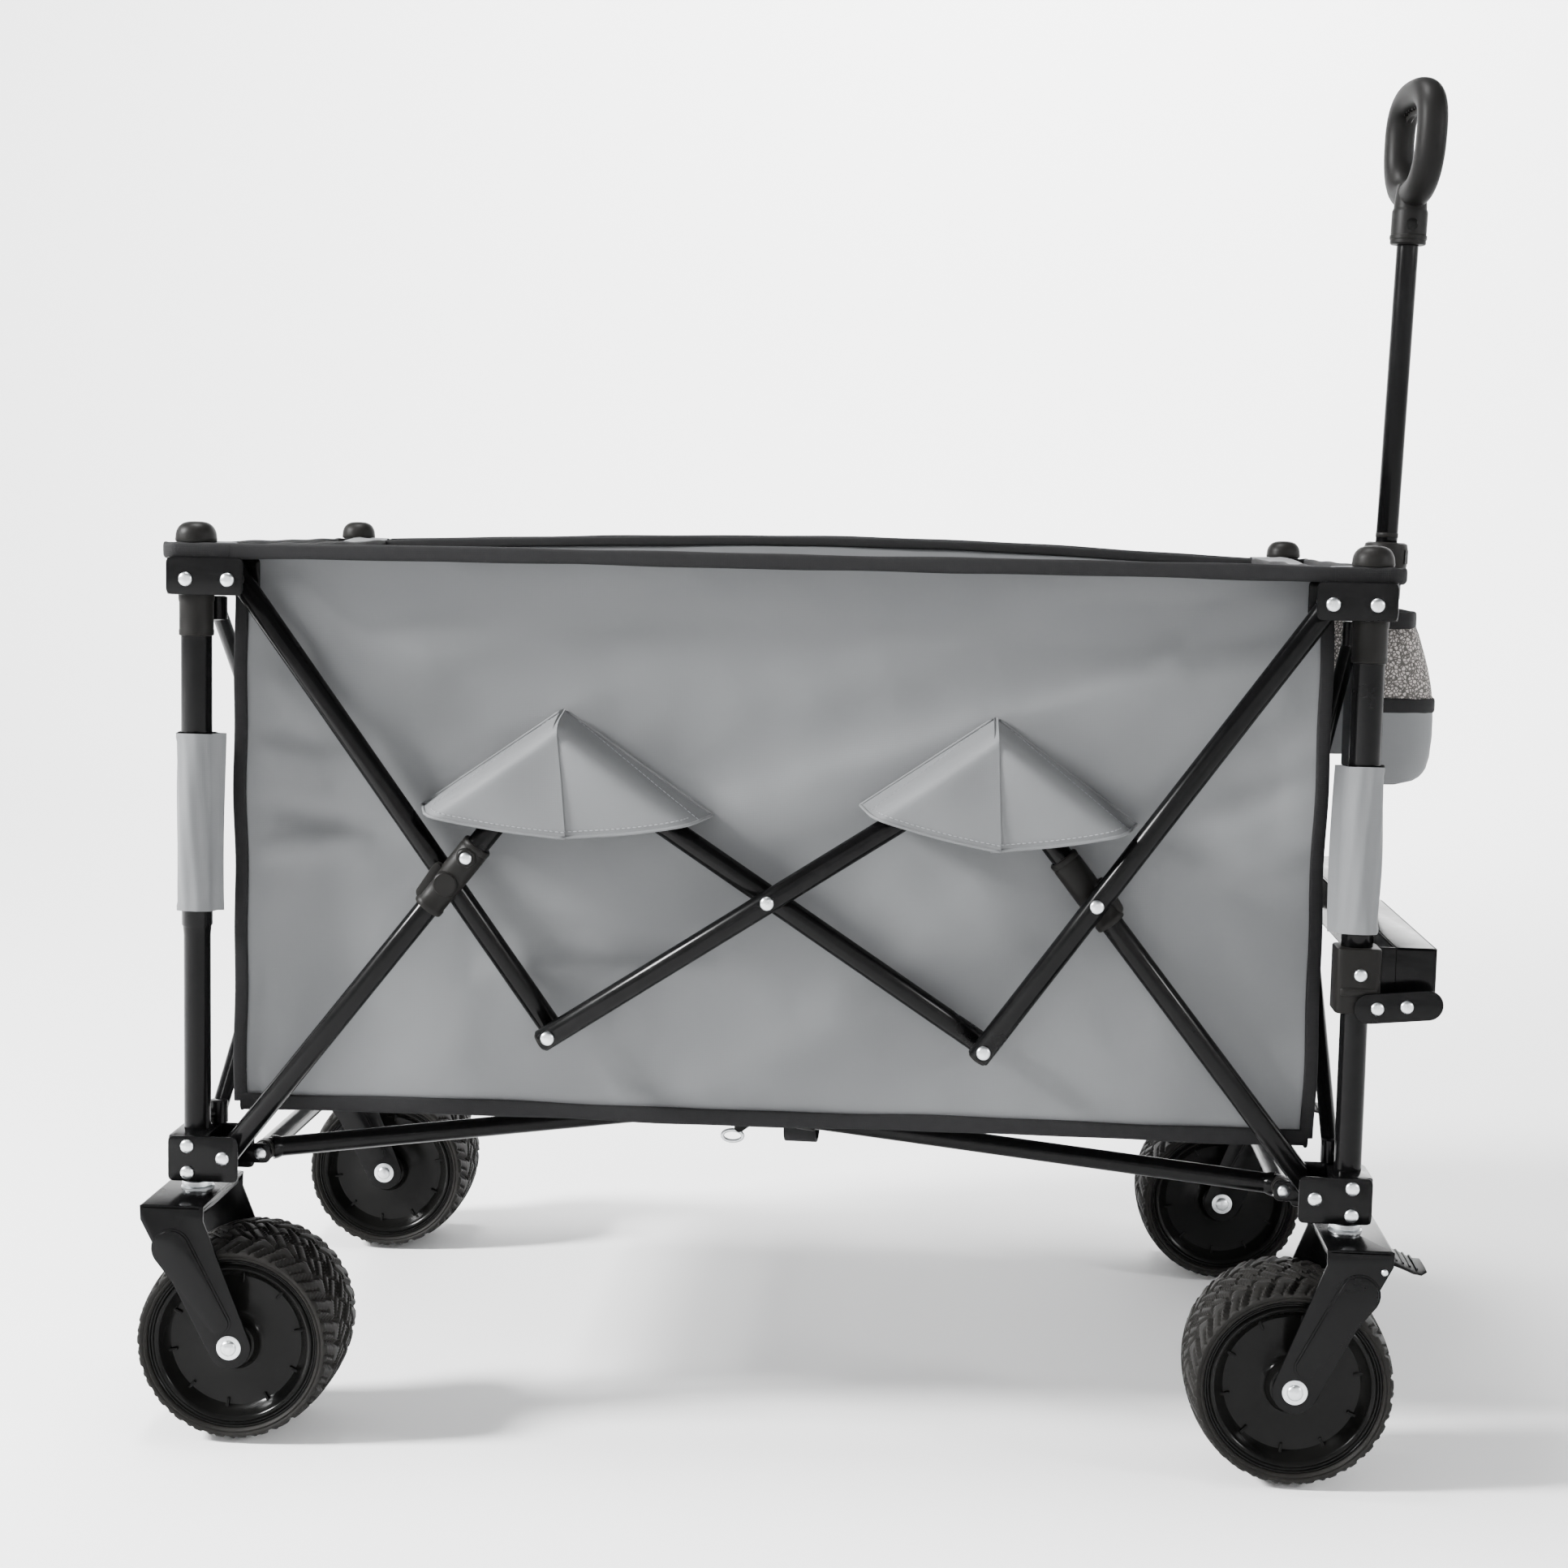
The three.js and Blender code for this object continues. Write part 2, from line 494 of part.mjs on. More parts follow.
// Pull handle, built upright over its pivot and then leaned forwards.
{
  const at = [px + CROSS_X, 0, CROSS_Z];
  const place = (g) => g.rotateY((HANDLE_LEAN * Math.PI) / 180).translate(...at);
  const lower = build(
    [
      rod([0, 0, 0], [0, 0, SLEEVE_TOP - 4], TUBE_R, 16),
      rod([0, -12.6, 0], [0, 12.6, 0], TUBE_R, 16),
      rod([0, 0, SLEEVE_TOP - 46], [0, 0, SLEEVE_TOP - 30], TUBE_R + 2.5, 18),
      rod([0, 0, SLEEVE_TOP - 31], [0, 0, SLEEVE_TOP], TUBE_R + 6.5, 18),
    ],
    [
      rod([0, -20, 0], [0, 20, 0], 4.35, 12),
      rod([0, 0, 30], [0, 0, SLEEVE_TOP + 5], ROD_R + 0.5, 16),
    ],
  );
  add("handle_lower_tube", place(lower), black);
  add("handle_rod", place(rod([0, 0, SLEEVE_TOP - 46], [0, 0, ROD_TOP], ROD_R, 16)), black);
  const loop = [];
  const halfW = GRIP_W / 2 - LOOP_R;
  const lowZ = GRIP_LOW + 42;
  const highZ = GRIP_TOP - LOOP_R;
  const mid = (lowZ + highZ) / 2;
  for (let i = 0; i < 20; i++) {
    const t = (i / 20) * Math.PI * 2;
    const squash = (v) => Math.sign(v) * Math.abs(v) ** 0.8;
    const wide = halfW * (0.9 + 0.1 * Math.sin(t));
    const up = mid + (squash(Math.sin(t)) * (highZ - lowZ)) / 2;
    loop.push(new THREE.Vector3(0, squash(Math.cos(t)) * wide, up));
  }
  const ring = new THREE.TubeGeometry(new THREE.CatmullRomCurve3(loop, true), 24, LOOP_R, 8, true);
  ring.rotateZ((GRIP_YAW * Math.PI) / 180);
  const neck = [
    rod([0, 0, GRIP_LOW], [0, 0, GRIP_LOW + 30], 15, 16),
    rod([0, 0, GRIP_LOW + 28], [0, 0, lowZ + 4], 12.5, 16),
  ];
  const grip = build([ring, ...neck], [rod([0, 0, GRIP_LOW - 5], [0, 0, ROD_TOP + 0.4], ROD_R + 0.35, 16)]);
  add("handle_grip", place(grip), plastic);
}

// Fabric basket: padded walls and floor, and a rim that reaches out over the corner posts.
{
  const x = px - WALL_IN_X;
  const y = py - WALL_IN_Y;
  const cx = px + RIM_OUT_X;
  const cy = py + RIM_OUT_Y;
  const r = 20;
  const outline = new THREE.Shape();
  outline.moveTo(-cx + r, -cy);
  outline.lineTo(cx - r, -cy);
  outline.absarc(cx - r, -cy + r, r, -Math.PI / 2, 0, false);
  outline.lineTo(cx, cy - r);
  outline.absarc(cx - r, cy - r, r, 0, Math.PI / 2, false);
  outline.lineTo(-cx + r, cy);
  outline.absarc(-cx + r, cy - r, r, Math.PI / 2, Math.PI, false);
  outline.lineTo(-cx, -cy + r);
  outline.absarc(-cx + r, -cy + r, r, Math.PI, Math.PI * 1.5, false);
  const depth = RIM_HIGH - RIM_LOW;
  const rim = new THREE.ExtrudeGeometry(outline, { depth, bevelEnabled: false, curveSegments: 5 });
  rim.translate(0, 0, RIM_LOW);
  const cuts = [block(-x + CLOTH, x - CLOTH, -y + CLOTH, y - CLOTH, FLOOR_Z + CLOTH, RIM_HIGH + 10)];
  corners((end, side, sx, sy) => {
    cuts.push(rod([sx * px, sy * py, RIM_LOW - 5], [sx * px, sy * py, RIM_HIGH + 5], 5.5, 16));
  });
  add("basket", build([rim, block(-x, x, -y, y, FLOOR_Z, RIM_LOW + 2)], cuts), cloth);
}

// Open pockets on the front end, one each side of the handle.
for (const [side, sy] of [["near", -1], ["far", 1]]) {
  const x0 = px + 14;
  const x1 = px + 66;
  const y0 = sy * POCKET_INNER;
  const y1 = sy * (py - POCKET_SIDE);
  const low = POCKET_LOW;
  const high = POCKET_HIGH;
  const wall = 3;
  const outer = block(x0, x1, y0, y1, low, high);
  const inner = block(x0 + wall, x1 - wall, y0 + sy * wall, y1 - sy * wall, low + wall, high + 10);
  add(`front_pocket_${side}`, build([outer], [inner]), meshCloth);
}

export default wagon;
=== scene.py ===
import json
import math

import bmesh
import bpy
import numpy as np
from bpy.props import FloatProperty, FloatVectorProperty, PointerProperty
from mathutils import Matrix, Vector


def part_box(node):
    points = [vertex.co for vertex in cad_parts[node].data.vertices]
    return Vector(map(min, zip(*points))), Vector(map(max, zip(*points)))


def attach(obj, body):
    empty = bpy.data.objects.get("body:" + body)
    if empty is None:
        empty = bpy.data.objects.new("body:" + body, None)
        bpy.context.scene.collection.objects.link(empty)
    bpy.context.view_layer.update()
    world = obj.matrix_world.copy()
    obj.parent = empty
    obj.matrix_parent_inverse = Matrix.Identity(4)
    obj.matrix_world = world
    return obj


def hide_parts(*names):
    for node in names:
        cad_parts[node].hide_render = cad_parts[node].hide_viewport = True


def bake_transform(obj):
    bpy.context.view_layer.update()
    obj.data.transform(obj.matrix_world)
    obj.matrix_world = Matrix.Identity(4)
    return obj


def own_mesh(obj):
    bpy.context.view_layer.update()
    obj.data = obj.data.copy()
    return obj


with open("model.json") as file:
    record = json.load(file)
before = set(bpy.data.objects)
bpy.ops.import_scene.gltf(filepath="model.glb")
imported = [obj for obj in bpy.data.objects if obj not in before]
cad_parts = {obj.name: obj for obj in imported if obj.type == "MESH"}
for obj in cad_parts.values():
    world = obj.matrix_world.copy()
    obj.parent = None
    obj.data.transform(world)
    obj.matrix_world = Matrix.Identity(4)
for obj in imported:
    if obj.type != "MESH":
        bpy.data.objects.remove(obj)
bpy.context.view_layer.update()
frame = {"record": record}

bl_info = {
    "name": "Folding wagon with pull handle",
    "version": (1, 0, 0),
    "blender": (4, 5, 0),
    "location": "3D View > Sidebar > Wagon",
    "description": "Builds the folding wagon's steel frame, wheels, handle and fabric over the packed frame",
    "category": "Mesh",
}

MM = 0.001
JOINTS = {j["name"]: j for j in frame["record"]["behaviour"]["joints"]}
BODY_OF = {n: body for body, names in frame["record"]["behaviour"]["bodies"].items() for n in names}
CORNERS = [
    (end, side, sx, sy) for end, sx in (("rear", -1), ("front", 1)) for side, sy in (("near", -1), ("far", 1))
]
TAU = 2 * math.pi


def box_mm(name):
    """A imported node's lowest and highest corners, in millimetres."""
    low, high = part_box(name)
    return [v / MM for v in low], [v / MM for v in high]


def joint_mm(name):
    return [v / MM for v in JOINTS[name]["pos_m"]]


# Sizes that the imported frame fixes, in millimetres.
POST_LOW, POST_HIGH = box_mm("post_front_far")
PX = (POST_LOW[0] + POST_HIGH[0]) / 2
PY = (POST_LOW[1] + POST_HIGH[1]) / 2
POST_R = (POST_HIGH[0] - POST_LOW[0]) / 2
TYRE_LOW, TYRE_HIGH = box_mm("tyre_front_far")
WHEEL_R = (TYRE_HIGH[2] - TYRE_LOW[2]) / 2
WHEEL_HALF = (TYRE_HIGH[1] - TYRE_LOW[1]) / 2
AXLE_X = (TYRE_LOW[0] + TYRE_HIGH[0]) / 2
CROWN = box_mm("top_bracket_front_far")[1][2] - 499
BASKET_LOW, BASKET_HIGH = box_mm("basket")
RIM_LOW = BASKET_HIGH[2] - 8.8
FLOOR_Z = BASKET_LOW[2]
RIM_X, RIM_Y = BASKET_HIGH[0], BASKET_HIGH[1]
WALL_X, WALL_Y = PX - 30, PY - 23
PAD_SEAMS = (12, 212, 404)  # distances of a floor pad's seams from the wagon's middle
HANDLE_LEAN, GRIP_YAW = math.radians(1.6), math.radians(10)
# metres; yaw, pitch and roll
CAMERA_PLACE, CAMERA_TURN = (0.1389, -2.2536, 0.7254), (0.0652, -0.1011, 0.0205)


# ---------------------------------------------------------------- user settings


class WagonSizes(bpy.types.PropertyGroup):
    """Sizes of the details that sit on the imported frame"""

    bar_radius: FloatProperty(
        name="Bar radius", description="Radius of the scissor bars", default=9 * MM, unit="LENGTH"
    )
    rivet_radius: FloatProperty(
        name="Rivet radius", description="Radius of a domed rivet head", default=5.4 * MM, unit="LENGTH"
    )
    tread_depth: FloatProperty(
        name="Tread depth", description="Depth of the grooves in the tyres", default=3.4 * MM, unit="LENGTH"
    )
    binding_width: FloatProperty(
        name="Binding width", description="Height of the bound edge round the rim", default=12 * MM,
        unit="LENGTH"
    )
    crease_depth: FloatProperty(
        name="Crease depth", description="How far the deepest creases move the side panels", default=13 * MM,
        unit="LENGTH"
    )
    thread_spacing: FloatProperty(
        name="Thread spacing", description="Spacing of the drawn weave", default=1.1 * MM, unit="LENGTH"
    )
    camera_lens: FloatProperty(
        name="Lens", description="Focal length on a 36 mm sensor, in mm", default=59.515
    )


def colour_setting(label, text, default):
    return FloatVectorProperty(
        name=label, description=text, subtype="COLOR_GAMMA", size=3, min=0, max=1, default=default
    )


class WagonColours(bpy.types.PropertyGroup):
    """Colours of the finishes, as sRGB"""

    cloth: colour_setting("Cloth", "Grey woven polyester", (0.365, 0.370, 0.375))
    steel: colour_setting("Frame", "Black powder coat", (0.022, 0.022, 0.023))
    rubber: colour_setting("Tyres", "Black rubber", (0.070, 0.067, 0.062))
    floor: colour_setting("Studio floor", "Pale studio floor", (0.97, 0.97, 0.97))


# ---------------------------------------------------------------- materials


def linear(colour):
    """An sRGB colour, as #rrggbb or three numbers from 0 to 1, as the linear RGBA that shaders take."""
    if isinstance(colour, str):
        colour = [int(colour[i : i + 2], 16) / 255 for i in (1, 3, 5)]
    return [c / 12.92 if c <= 0.04045 else ((c + 0.055) / 1.055) ** 2.4 for c in colour] + [1.0]


def node(tree, kind, settings=None, links=None):
    """Adds one node: settings name its attributes or sockets, links give the output that feeds a socket."""
    made = tree.nodes.new(kind)
    for key, value in (settings or {}).items():
        if isinstance(key, str) and hasattr(made, key):
            setattr(made, key, value)
        else:
            made.inputs[key].default_value = value
    for key, source in (links or {}).items():
        tree.links.new(source, made.inputs[key])
    return made


def new_material(name, settings):
    """A material with its Principled shader set, and its tree and shader to add to."""
    made = bpy.data.materials.new(name)
    made.use_nodes = True
    shader = made.node_tree.nodes["Principled BSDF"]
    for key, value in settings.items():
        shader.inputs[key].default_value = value
    return made, made.node_tree, shader


def wire(tree, shader, tone, dull=None, bump=None):
    """Joins the colour, and the roughness and bump where there are any, to the shader."""
    tree.links.new(tone.outputs[2], shader.inputs["Base Color"])
    if dull is not None:
        tree.links.new(dull.outputs["Result"], shader.inputs["Roughness"])
    if bump is not None:
        tree.links.new(bump.outputs["Normal"], shader.inputs["Normal"])


def powder_coat():
    """Steel tube, powder coated in gloss black polyester: a smooth skin with faint orange peel."""
    colour = bpy.context.scene.wagon_colours.steel
    made, tree, shader = new_material(
        "powder_coated_steel",
        {"IOR": 1.5, "Specular IOR Level": 0.1, "Roughness": 0.24, "Base Color": linear(colour)}
    )
    place = node(tree, "ShaderNodeTexCoord").outputs["Object"]
    # 3 mm orange peel
    peel = node(tree, "ShaderNodeTexNoise", {"Scale": 1 / (3.0 * MM), "Detail": 1.0}, {"Vector": place})
    wear = node(
        tree, "ShaderNodeTexNoise", {"Scale": 1 / (45 * MM), "Detail": 5.0, "Roughness": 0.6},
        {"Vector": place}
    )
    dull = node(
        tree, "ShaderNodeMapRange", {"From Min": 0.35, "From Max": 0.75, "To Min": 0.16, "To Max": 0.3},
        {"Value": wear.outputs["Fac"]}
    )
    tone = node(
        tree, "ShaderNodeMix",
        {"data_type": "RGBA", 6: linear(colour), 7: linear([c * 1.35 for c in colour])},
        {0: wear.outputs["Fac"]}
    )
    bump = node(
        tree, "ShaderNodeBump", {"Strength": 0.12, "Distance": 0.15 * MM}, {"Height": peel.outputs["Fac"]}
    )
    wire(tree, shader, tone, dull, bump)
    return made


def zinc():
    """Bright zinc plate on cold-headed steel rivets and bolts: a soft silver with a faint mottle."""
    made, tree, shader = new_material(
        "zinc_plated_steel", {"Metallic": 1.0, "Roughness": 0.3, "Base Color": linear("#D3D6D8")}
    )
    place = node(tree, "ShaderNodeTexCoord").outputs["Object"]
    mottle = node(tree, "ShaderNodeTexNoise", {"Scale": 1 / (2.5 * MM), "Detail": 4.0}, {"Vector": place})
    tone = node(
        tree, "ShaderNodeMix", {"data_type": "RGBA", 6: linear("#B4B8BB"), 7: linear("#E4E6E7")},
        {0: mottle.outputs["Fac"]}
    )
    dull = node(
        tree, "ShaderNodeMapRange", {"To Min": 0.22, "To Max": 0.42}, {"Value": mottle.outputs["Fac"]}
    )
    wire(tree, shader, tone, dull)
    return made


def moulded(name, colour, lighter, roughness, grain_mm, depth_mm):
    """Injection-moulded plastic: a spark-eroded mould leaves an even fine grain."""
    made, tree, shader = new_material(
        name, {"IOR": 1.5, "Specular IOR Level": 0.08, "Roughness": roughness, "Base Color": linear(colour)}
    )
    place = node(tree, "ShaderNodeTexCoord").outputs["Object"]
    grain = node(tree, "ShaderNodeTexNoise", {"Scale": 1 / (grain_mm * MM), "Detail": 3.0}, {"Vector": place})
    cloud = node(tree, "ShaderNodeTexNoise", {"Scale": 1 / (30 * MM), "Detail": 4.0}, {"Vector": place})
    tone = node(
        tree, "ShaderNodeMix", {"data_type": "RGBA", 6: linear(colour), 7: linear(lighter)},
        {0: cloud.outputs["Fac"]}
    )
    dull = node(
        tree, "ShaderNodeMapRange", {"To Min": roughness - 0.06, "To Max": roughness + 0.1},
        {"Value": cloud.outputs["Fac"]}
    )
    bump = node(
        tree, "ShaderNodeBump", {"Strength": 0.3, "Distance": depth_mm * MM}, {"Height": grain.outputs["Fac"]}
    )
    wire(tree, shader, tone, dull, bump)
    return made


def tyre_rubber():
    """Moulded black tyre rubber: matt, with a grey bloom of dust and a fine pitted skin."""
    colour = bpy.context.scene.wagon_colours.rubber
    made, tree, shader = new_material(
        "tyre_rubber",
        {"IOR": 1.52, "Specular IOR Level": 0.12, "Roughness": 0.6, "Base Color": linear(colour)}
    )
    place = node(tree, "ShaderNodeTexCoord").outputs["Object"]
    pits = node(tree, "ShaderNodeTexNoise", {"Scale": 1 / (1.2 * MM), "Detail": 4.0}, {"Vector": place})
    bloom = node(
        tree, "ShaderNodeTexNoise", {"Scale": 1 / (18 * MM), "Detail": 6.0, "Roughness": 0.65},
        {"Vector": place}
    )
    share = node(
        tree, "ShaderNodeMapRange", {"From Min": 0.35, "From Max": 0.8}, {"Value": bloom.outputs["Fac"]}
    )
    tone = node(
        tree, "ShaderNodeMix", {"data_type": "RGBA", 6: linear(colour), 7: linear([c * 1.5 for c in colour])},
        {0: share.outputs["Result"]}
    )
    dull = node(tree, "ShaderNodeMapRange", {"To Min": 0.5, "To Max": 0.78}, {"Value": bloom.outputs["Fac"]})
    bump = node(
        tree, "ShaderNodeBump", {"Strength": 0.3, "Distance": 0.3 * MM}, {"Height": pits.outputs["Fac"]}
    )
    wire(tree, shader, tone, dull, bump)
    return made


def woven(name, colour, lighter, spacing, roughness, depth_mm, sheen=0.0):
    """Plain-woven polyester: two sets of threads crossing, laid along each sheet's own width and length."""
    made, tree, shader = new_material(
        name,
        {
            "IOR": 1.5, "Specular IOR Level": 0.2, "Roughness": roughness, "Base Color": linear(colour),
            "Sheen Weight": sheen, "Sheen Roughness": 0.4
        }
    )
    # A real 600D thread is about 0.45 mm wide; it is drawn coarser so that it shows.
    flat = node(tree, "ShaderNodeTexCoord").outputs["UV"]
    warp = node(
        tree, "ShaderNodeTexWave",
        {"bands_direction": "X", "Scale": 0.314 / spacing, "Distortion": 0.6, "Detail": 1.0}, {"Vector": flat}
    )
    weft = node(
        tree, "ShaderNodeTexWave",
        {"bands_direction": "Y", "Scale": 0.314 / spacing, "Distortion": 0.6, "Detail": 1.0}, {"Vector": flat}
    )
    weave = node(
        tree, "ShaderNodeMath", {"operation": "MULTIPLY"}, {0: warp.outputs["Fac"], 1: weft.outputs["Fac"]}
    )
    cloud = node(tree, "ShaderNodeTexNoise", {"Scale": 1 / (60 * MM), "Detail": 5.0}, {"Vector": flat})
    slub = node(
        tree, "ShaderNodeMath", {"operation": "MULTIPLY_ADD", 1: 0.35},
        {0: weave.outputs[0], 2: cloud.outputs["Fac"]}
    )
    tone = node(
        tree, "ShaderNodeMix", {"data_type": "RGBA", 6: linear(colour), 7: linear(lighter)},
        {0: slub.outputs[0]}
    )
    dull = node(
        tree, "ShaderNodeMapRange", {"To Min": roughness - 0.05, "To Max": roughness + 0.08},
        {"Value": cloud.outputs["Fac"]}
    )
    bump = node(
        tree, "ShaderNodeBump", {"Strength": 0.35, "Distance": depth_mm * MM}, {"Height": weave.outputs[0]}
    )
    wire(tree, shader, tone, dull, bump)
    return made


def open_mesh():
    """Knitted polyester mesh of a pocket: pale cells between dark threads, over a grey lining."""
    made, tree, shader = new_material("knitted_mesh", {"Roughness": 0.8, "Base Color": linear("#5A5856")})
    flat = node(tree, "ShaderNodeTexCoord").outputs["UV"]
    cell = node(
        tree, "ShaderNodeTexVoronoi",
        {"feature": "DISTANCE_TO_EDGE", "Scale": 1 / (2.6 * MM), "Randomness": 0.85}, {"Vector": flat}
    )
    hole = node(
        tree, "ShaderNodeMapRange", {"From Min": 0.08, "From Max": 0.2}, {"Value": cell.outputs["Distance"]}
    )
    tone = node(
        tree, "ShaderNodeMix", {"data_type": "RGBA", 6: linear("#3A3836"), 7: linear("#9A9490")},
        {0: hole.outputs["Result"]}
    )
    bump = node(
        tree, "ShaderNodeBump", {"Strength": 0.6, "Distance": 0.4 * MM, "invert": True},
        {"Height": hole.outputs["Result"]}
    )
    wire(tree, shader, tone, bump=bump)
    return made


def studio_paper():
    """Matt painted studio floor."""
    colour = linear(bpy.context.scene.wagon_colours.floor)
    return new_material("studio_floor", {"Roughness": 0.9, "Base Color": colour})[0]


FINISHES = {}


def finish(name):
    """Each finish is made once and shared by every piece that has it."""
    if name not in FINISHES:
        sizes, colours = bpy.context.scene.wagon_sizes, bpy.context.scene.wagon_colours
        makers = {
            "steel": powder_coat,
            "zinc": zinc,
            "nylon": lambda: moulded("moulded_nylon", "#111110", "#181716", 0.42, 0.9, 0.08),
            "wheel": lambda: moulded("gloss_polypropylene", "#090909", "#0F0F0E", 0.16, 1.2, 0.03),
            "grip": lambda: moulded("soft_grip_rubber", "#0F0F0F", "#161514", 0.46, 0.7, 0.08),
            "rubber": tyre_rubber,
            "cloth": lambda: woven(
                "oxford_polyester", colours.cloth, [c * 1.05 for c in colours.cloth], sizes.thread_spacing,
                0.62, 0.12, 0.05
            ),
            "binding": lambda: woven("binding_tape", "#0B0B0C", "#151516", 1.4 * MM, 0.75, 0.3),
            "mesh": open_mesh,
            "thread": lambda: moulded("sewing_thread", "#77797B", "#8A8C8E", 0.7, 0.5, 0.1),
            "paper": studio_paper,
        }
        FINISHES[name] = makers[name]()
    return FINISHES[name]


# ---------------------------------------------------------------- shaping tools, in millimetres


def rounded(points, radius, steps=4):
    """Outline with its corners rounded."""
    out = []
    count = len(points)
    for i in range(count):
        here = Vector(points[i])
        back, ahead = Vector(points[i - 1]) - here, Vector(points[(i + 1) % count]) - here
        cut = min(radius, back.length * 0.45, ahead.length * 0.45)
        a, b = here + back.normalized() * cut, here + ahead.normalized() * cut
        for k in range(steps + 1):
            t = k / steps
            p = a.lerp(here, t).lerp(here.lerp(b, t), t)
            out.append((p.x, p.y))
    return out


def strap_outline(a, b, ra, rb, steps=10):
    """Outline of a strap with a round end at each of two points."""
    way = math.atan2(b[1] - a[1], b[0] - a[0])
    ends = []
    for centre, radius, turn in ((b, rb, -math.pi / 2), (a, ra, math.pi / 2)):
        for i in range(steps + 1):
            t = way + turn + math.pi * i / steps
            ends.append((centre[0] + radius * math.cos(t), centre[1] + radius * math.sin(t)))
    return ends


def rect(x0, x1, y0, y1):
    return [(x0, y0), (x1, y0), (x1, y1), (x0, y1)]


def round_section(radius, sides):
    return [(radius * math.cos(t), radius * math.sin(t)) for t in np.linspace(0, TAU, sides, endpoint=False)]


SIDEWAYS = Matrix(((1, 0, 0, 0), (0, 0, 1, 0), (0, 1, 0, 0), (0, 0, 0, 1)))  # outline in XZ, depth along Y


def along(a, b):
    """Places a piece built up from the origin along Z so that it runs from a towards b."""
    a, b = Vector(a), Vector(b)
    return Matrix.Translation(a) @ (b - a).to_track_quat("Z", "Y").to_matrix().to_4x4()


class Shape:
    """The parts of one piece, each with its own finish."""

    def __init__(self):
        self.points, self.faces, self.finish_of, self.names, self.flat = [], [], [], [], []

    def add(self, points, faces, name, place=None, flat=None):
        base = len(self.points)
        if name not in self.names:
            self.names.append(name)
        index = self.names.index(name)
        place = place or Matrix.Identity(4)
        self.points += [tuple(place @ Vector(p)) for p in points]
        self.faces += [[base + i for i in f] for f in faces]
        self.finish_of += [index] * len(faces)
        self.flat += list(flat) if flat is not None else [(p[0] * MM, p[2] * MM) for p in self.points[base:]]
        return self

    def grid(self, rows, name, close_u=False, close_v=False, caps=False, place=None, flat=None):
        """A skin over rows of points; close_u joins a row's ends, close_v the last row to the first."""
        many, wide = len(rows), len(rows[0])
        faces = []
        for i in range(many if close_v else many - 1):
            for j in range(wide if close_u else wide - 1):
                a, b = i * wide, (i + 1) % many * wide
                k = (j + 1) % wide
                faces.append([a + j, a + k, b + k, b + j])
        if caps:
            faces += [list(range(wide))[::-1], list(range((many - 1) * wide, many * wide))]
        return self.add([p for row in rows for p in row], faces, name, place, flat)

    def turned(self, profile, name, place=None, sides=40):
        """Closed round part: profile is (radius, height) from one end to the other."""
        rows = []
        for r, h in profile:
            r = max(r, 0.02)
            rows.append(
                [(r * math.cos(TAU * k / sides), r * math.sin(TAU * k / sides), h) for k in range(sides)]
            )
        return self.grid(rows, name, close_u=True, caps=True, place=place)

    def ring(self, profile, name, place=None, sides=48):
        """Round part with a hole: profile is a closed (radius, height) loop."""
        rows = [
            [(r * math.cos(TAU * k / sides), r * math.sin(TAU * k / sides), h) for k in range(sides)] for r,
            h in profile
        ]
        return self.grid(rows, name, close_u=True, close_v=True, place=place)

    def plate(self, outline, low, high, name, bevel=0.8, place=SIDEWAYS):
        """Outline with thickness and rounded edges."""
        points = [Vector((p[0], p[1])) for p in outline]
        count = len(points)
        area = sum(points[i - 1].x * points[i].y - points[i].x * points[i - 1].y for i in range(count))
        if area < 0:
            points.reverse()
        inward = []
        for i in range(count):
            e = (points[(i + 1) % count] - points[i - 1]).normalized()
            inward.append(Vector((-e.y, e.x)))
        bevel = min(bevel, (high - low) * 0.45)
        steps = [(bevel, 0), (bevel * 0.3, bevel * 0.3), (0, bevel)]
        rows = [
            [(p.x + n.x * inset, p.y + n.y * inset, low + up) for p, n in zip(points, inward)] for inset,
            up in steps
        ]
        rows += [
            [(p.x + n.x * inset, p.y + n.y * inset, high - up) for p, n in zip(points, inward)] for inset,
            up in reversed(steps)
        ]
        return self.grid(rows, name, close_u=True, caps=True, place=place)

    def block(self, low, high, name, radius=2.0, bevel=1.0):
        """Box with rounded upright edges and bevelled top and bottom."""
        low, high = [min(a, b) for a, b in zip(low, high)], [max(a, b) for a, b in zip(low, high)]
        outline = rounded(rect(low[0], high[0], low[1], high[1]), radius, 3)
        return self.plate(outline, low[2], high[2], name, bevel, Matrix.Identity(4))

    def swept(self, path, section, name, closed=False, up=(0, 0, 1), place=None, caps=True):
        """A section of (across, up) points, or a function of the share along, carried along a path."""
        path = [Vector(p) for p in path]
        count = len(path)
        up, rows, flat, run = Vector(up), [], [], 0.0
        for i, p in enumerate(path):
            before = path[i - 1] if closed or i else p
            after = path[(i + 1) % count] if closed or i < count - 1 else p
            way = (after - before).normalized()
            across = way.cross(up).normalized()
            rise = across.cross(way)
            points = section(i / max(count - 1, 1)) if callable(section) else section
            run += (p - path[i - 1]).length if i else 0
            rows.append([tuple(p + across * a + rise * b) for a, b in points])
            around = 0.0
            for k, q in enumerate(points):
                around += math.dist(q, points[k - 1]) if k else 0
                flat.append((run * MM, around * MM))
        return self.grid(
            rows, name, close_u=True, close_v=closed, caps=caps and not closed, place=place, flat=flat
        )

    def rivet(self, at, out, radius=None):
        """Domed rivet head on a thin washer; out is the way that it faces."""
        r = radius or bpy.context.scene.wagon_sizes.rivet_radius / MM
        place = along(at, Vector(at) + Vector(out))
        dome = [(r, -1.5), (r, 0.7)] + [
            (r * math.cos(t), 0.7 + r * 0.48 * math.sin(t)) for t in np.linspace(0.12, 1.5, 7)
        ]
        self.turned(dome, "zinc", place, 28)
        return self

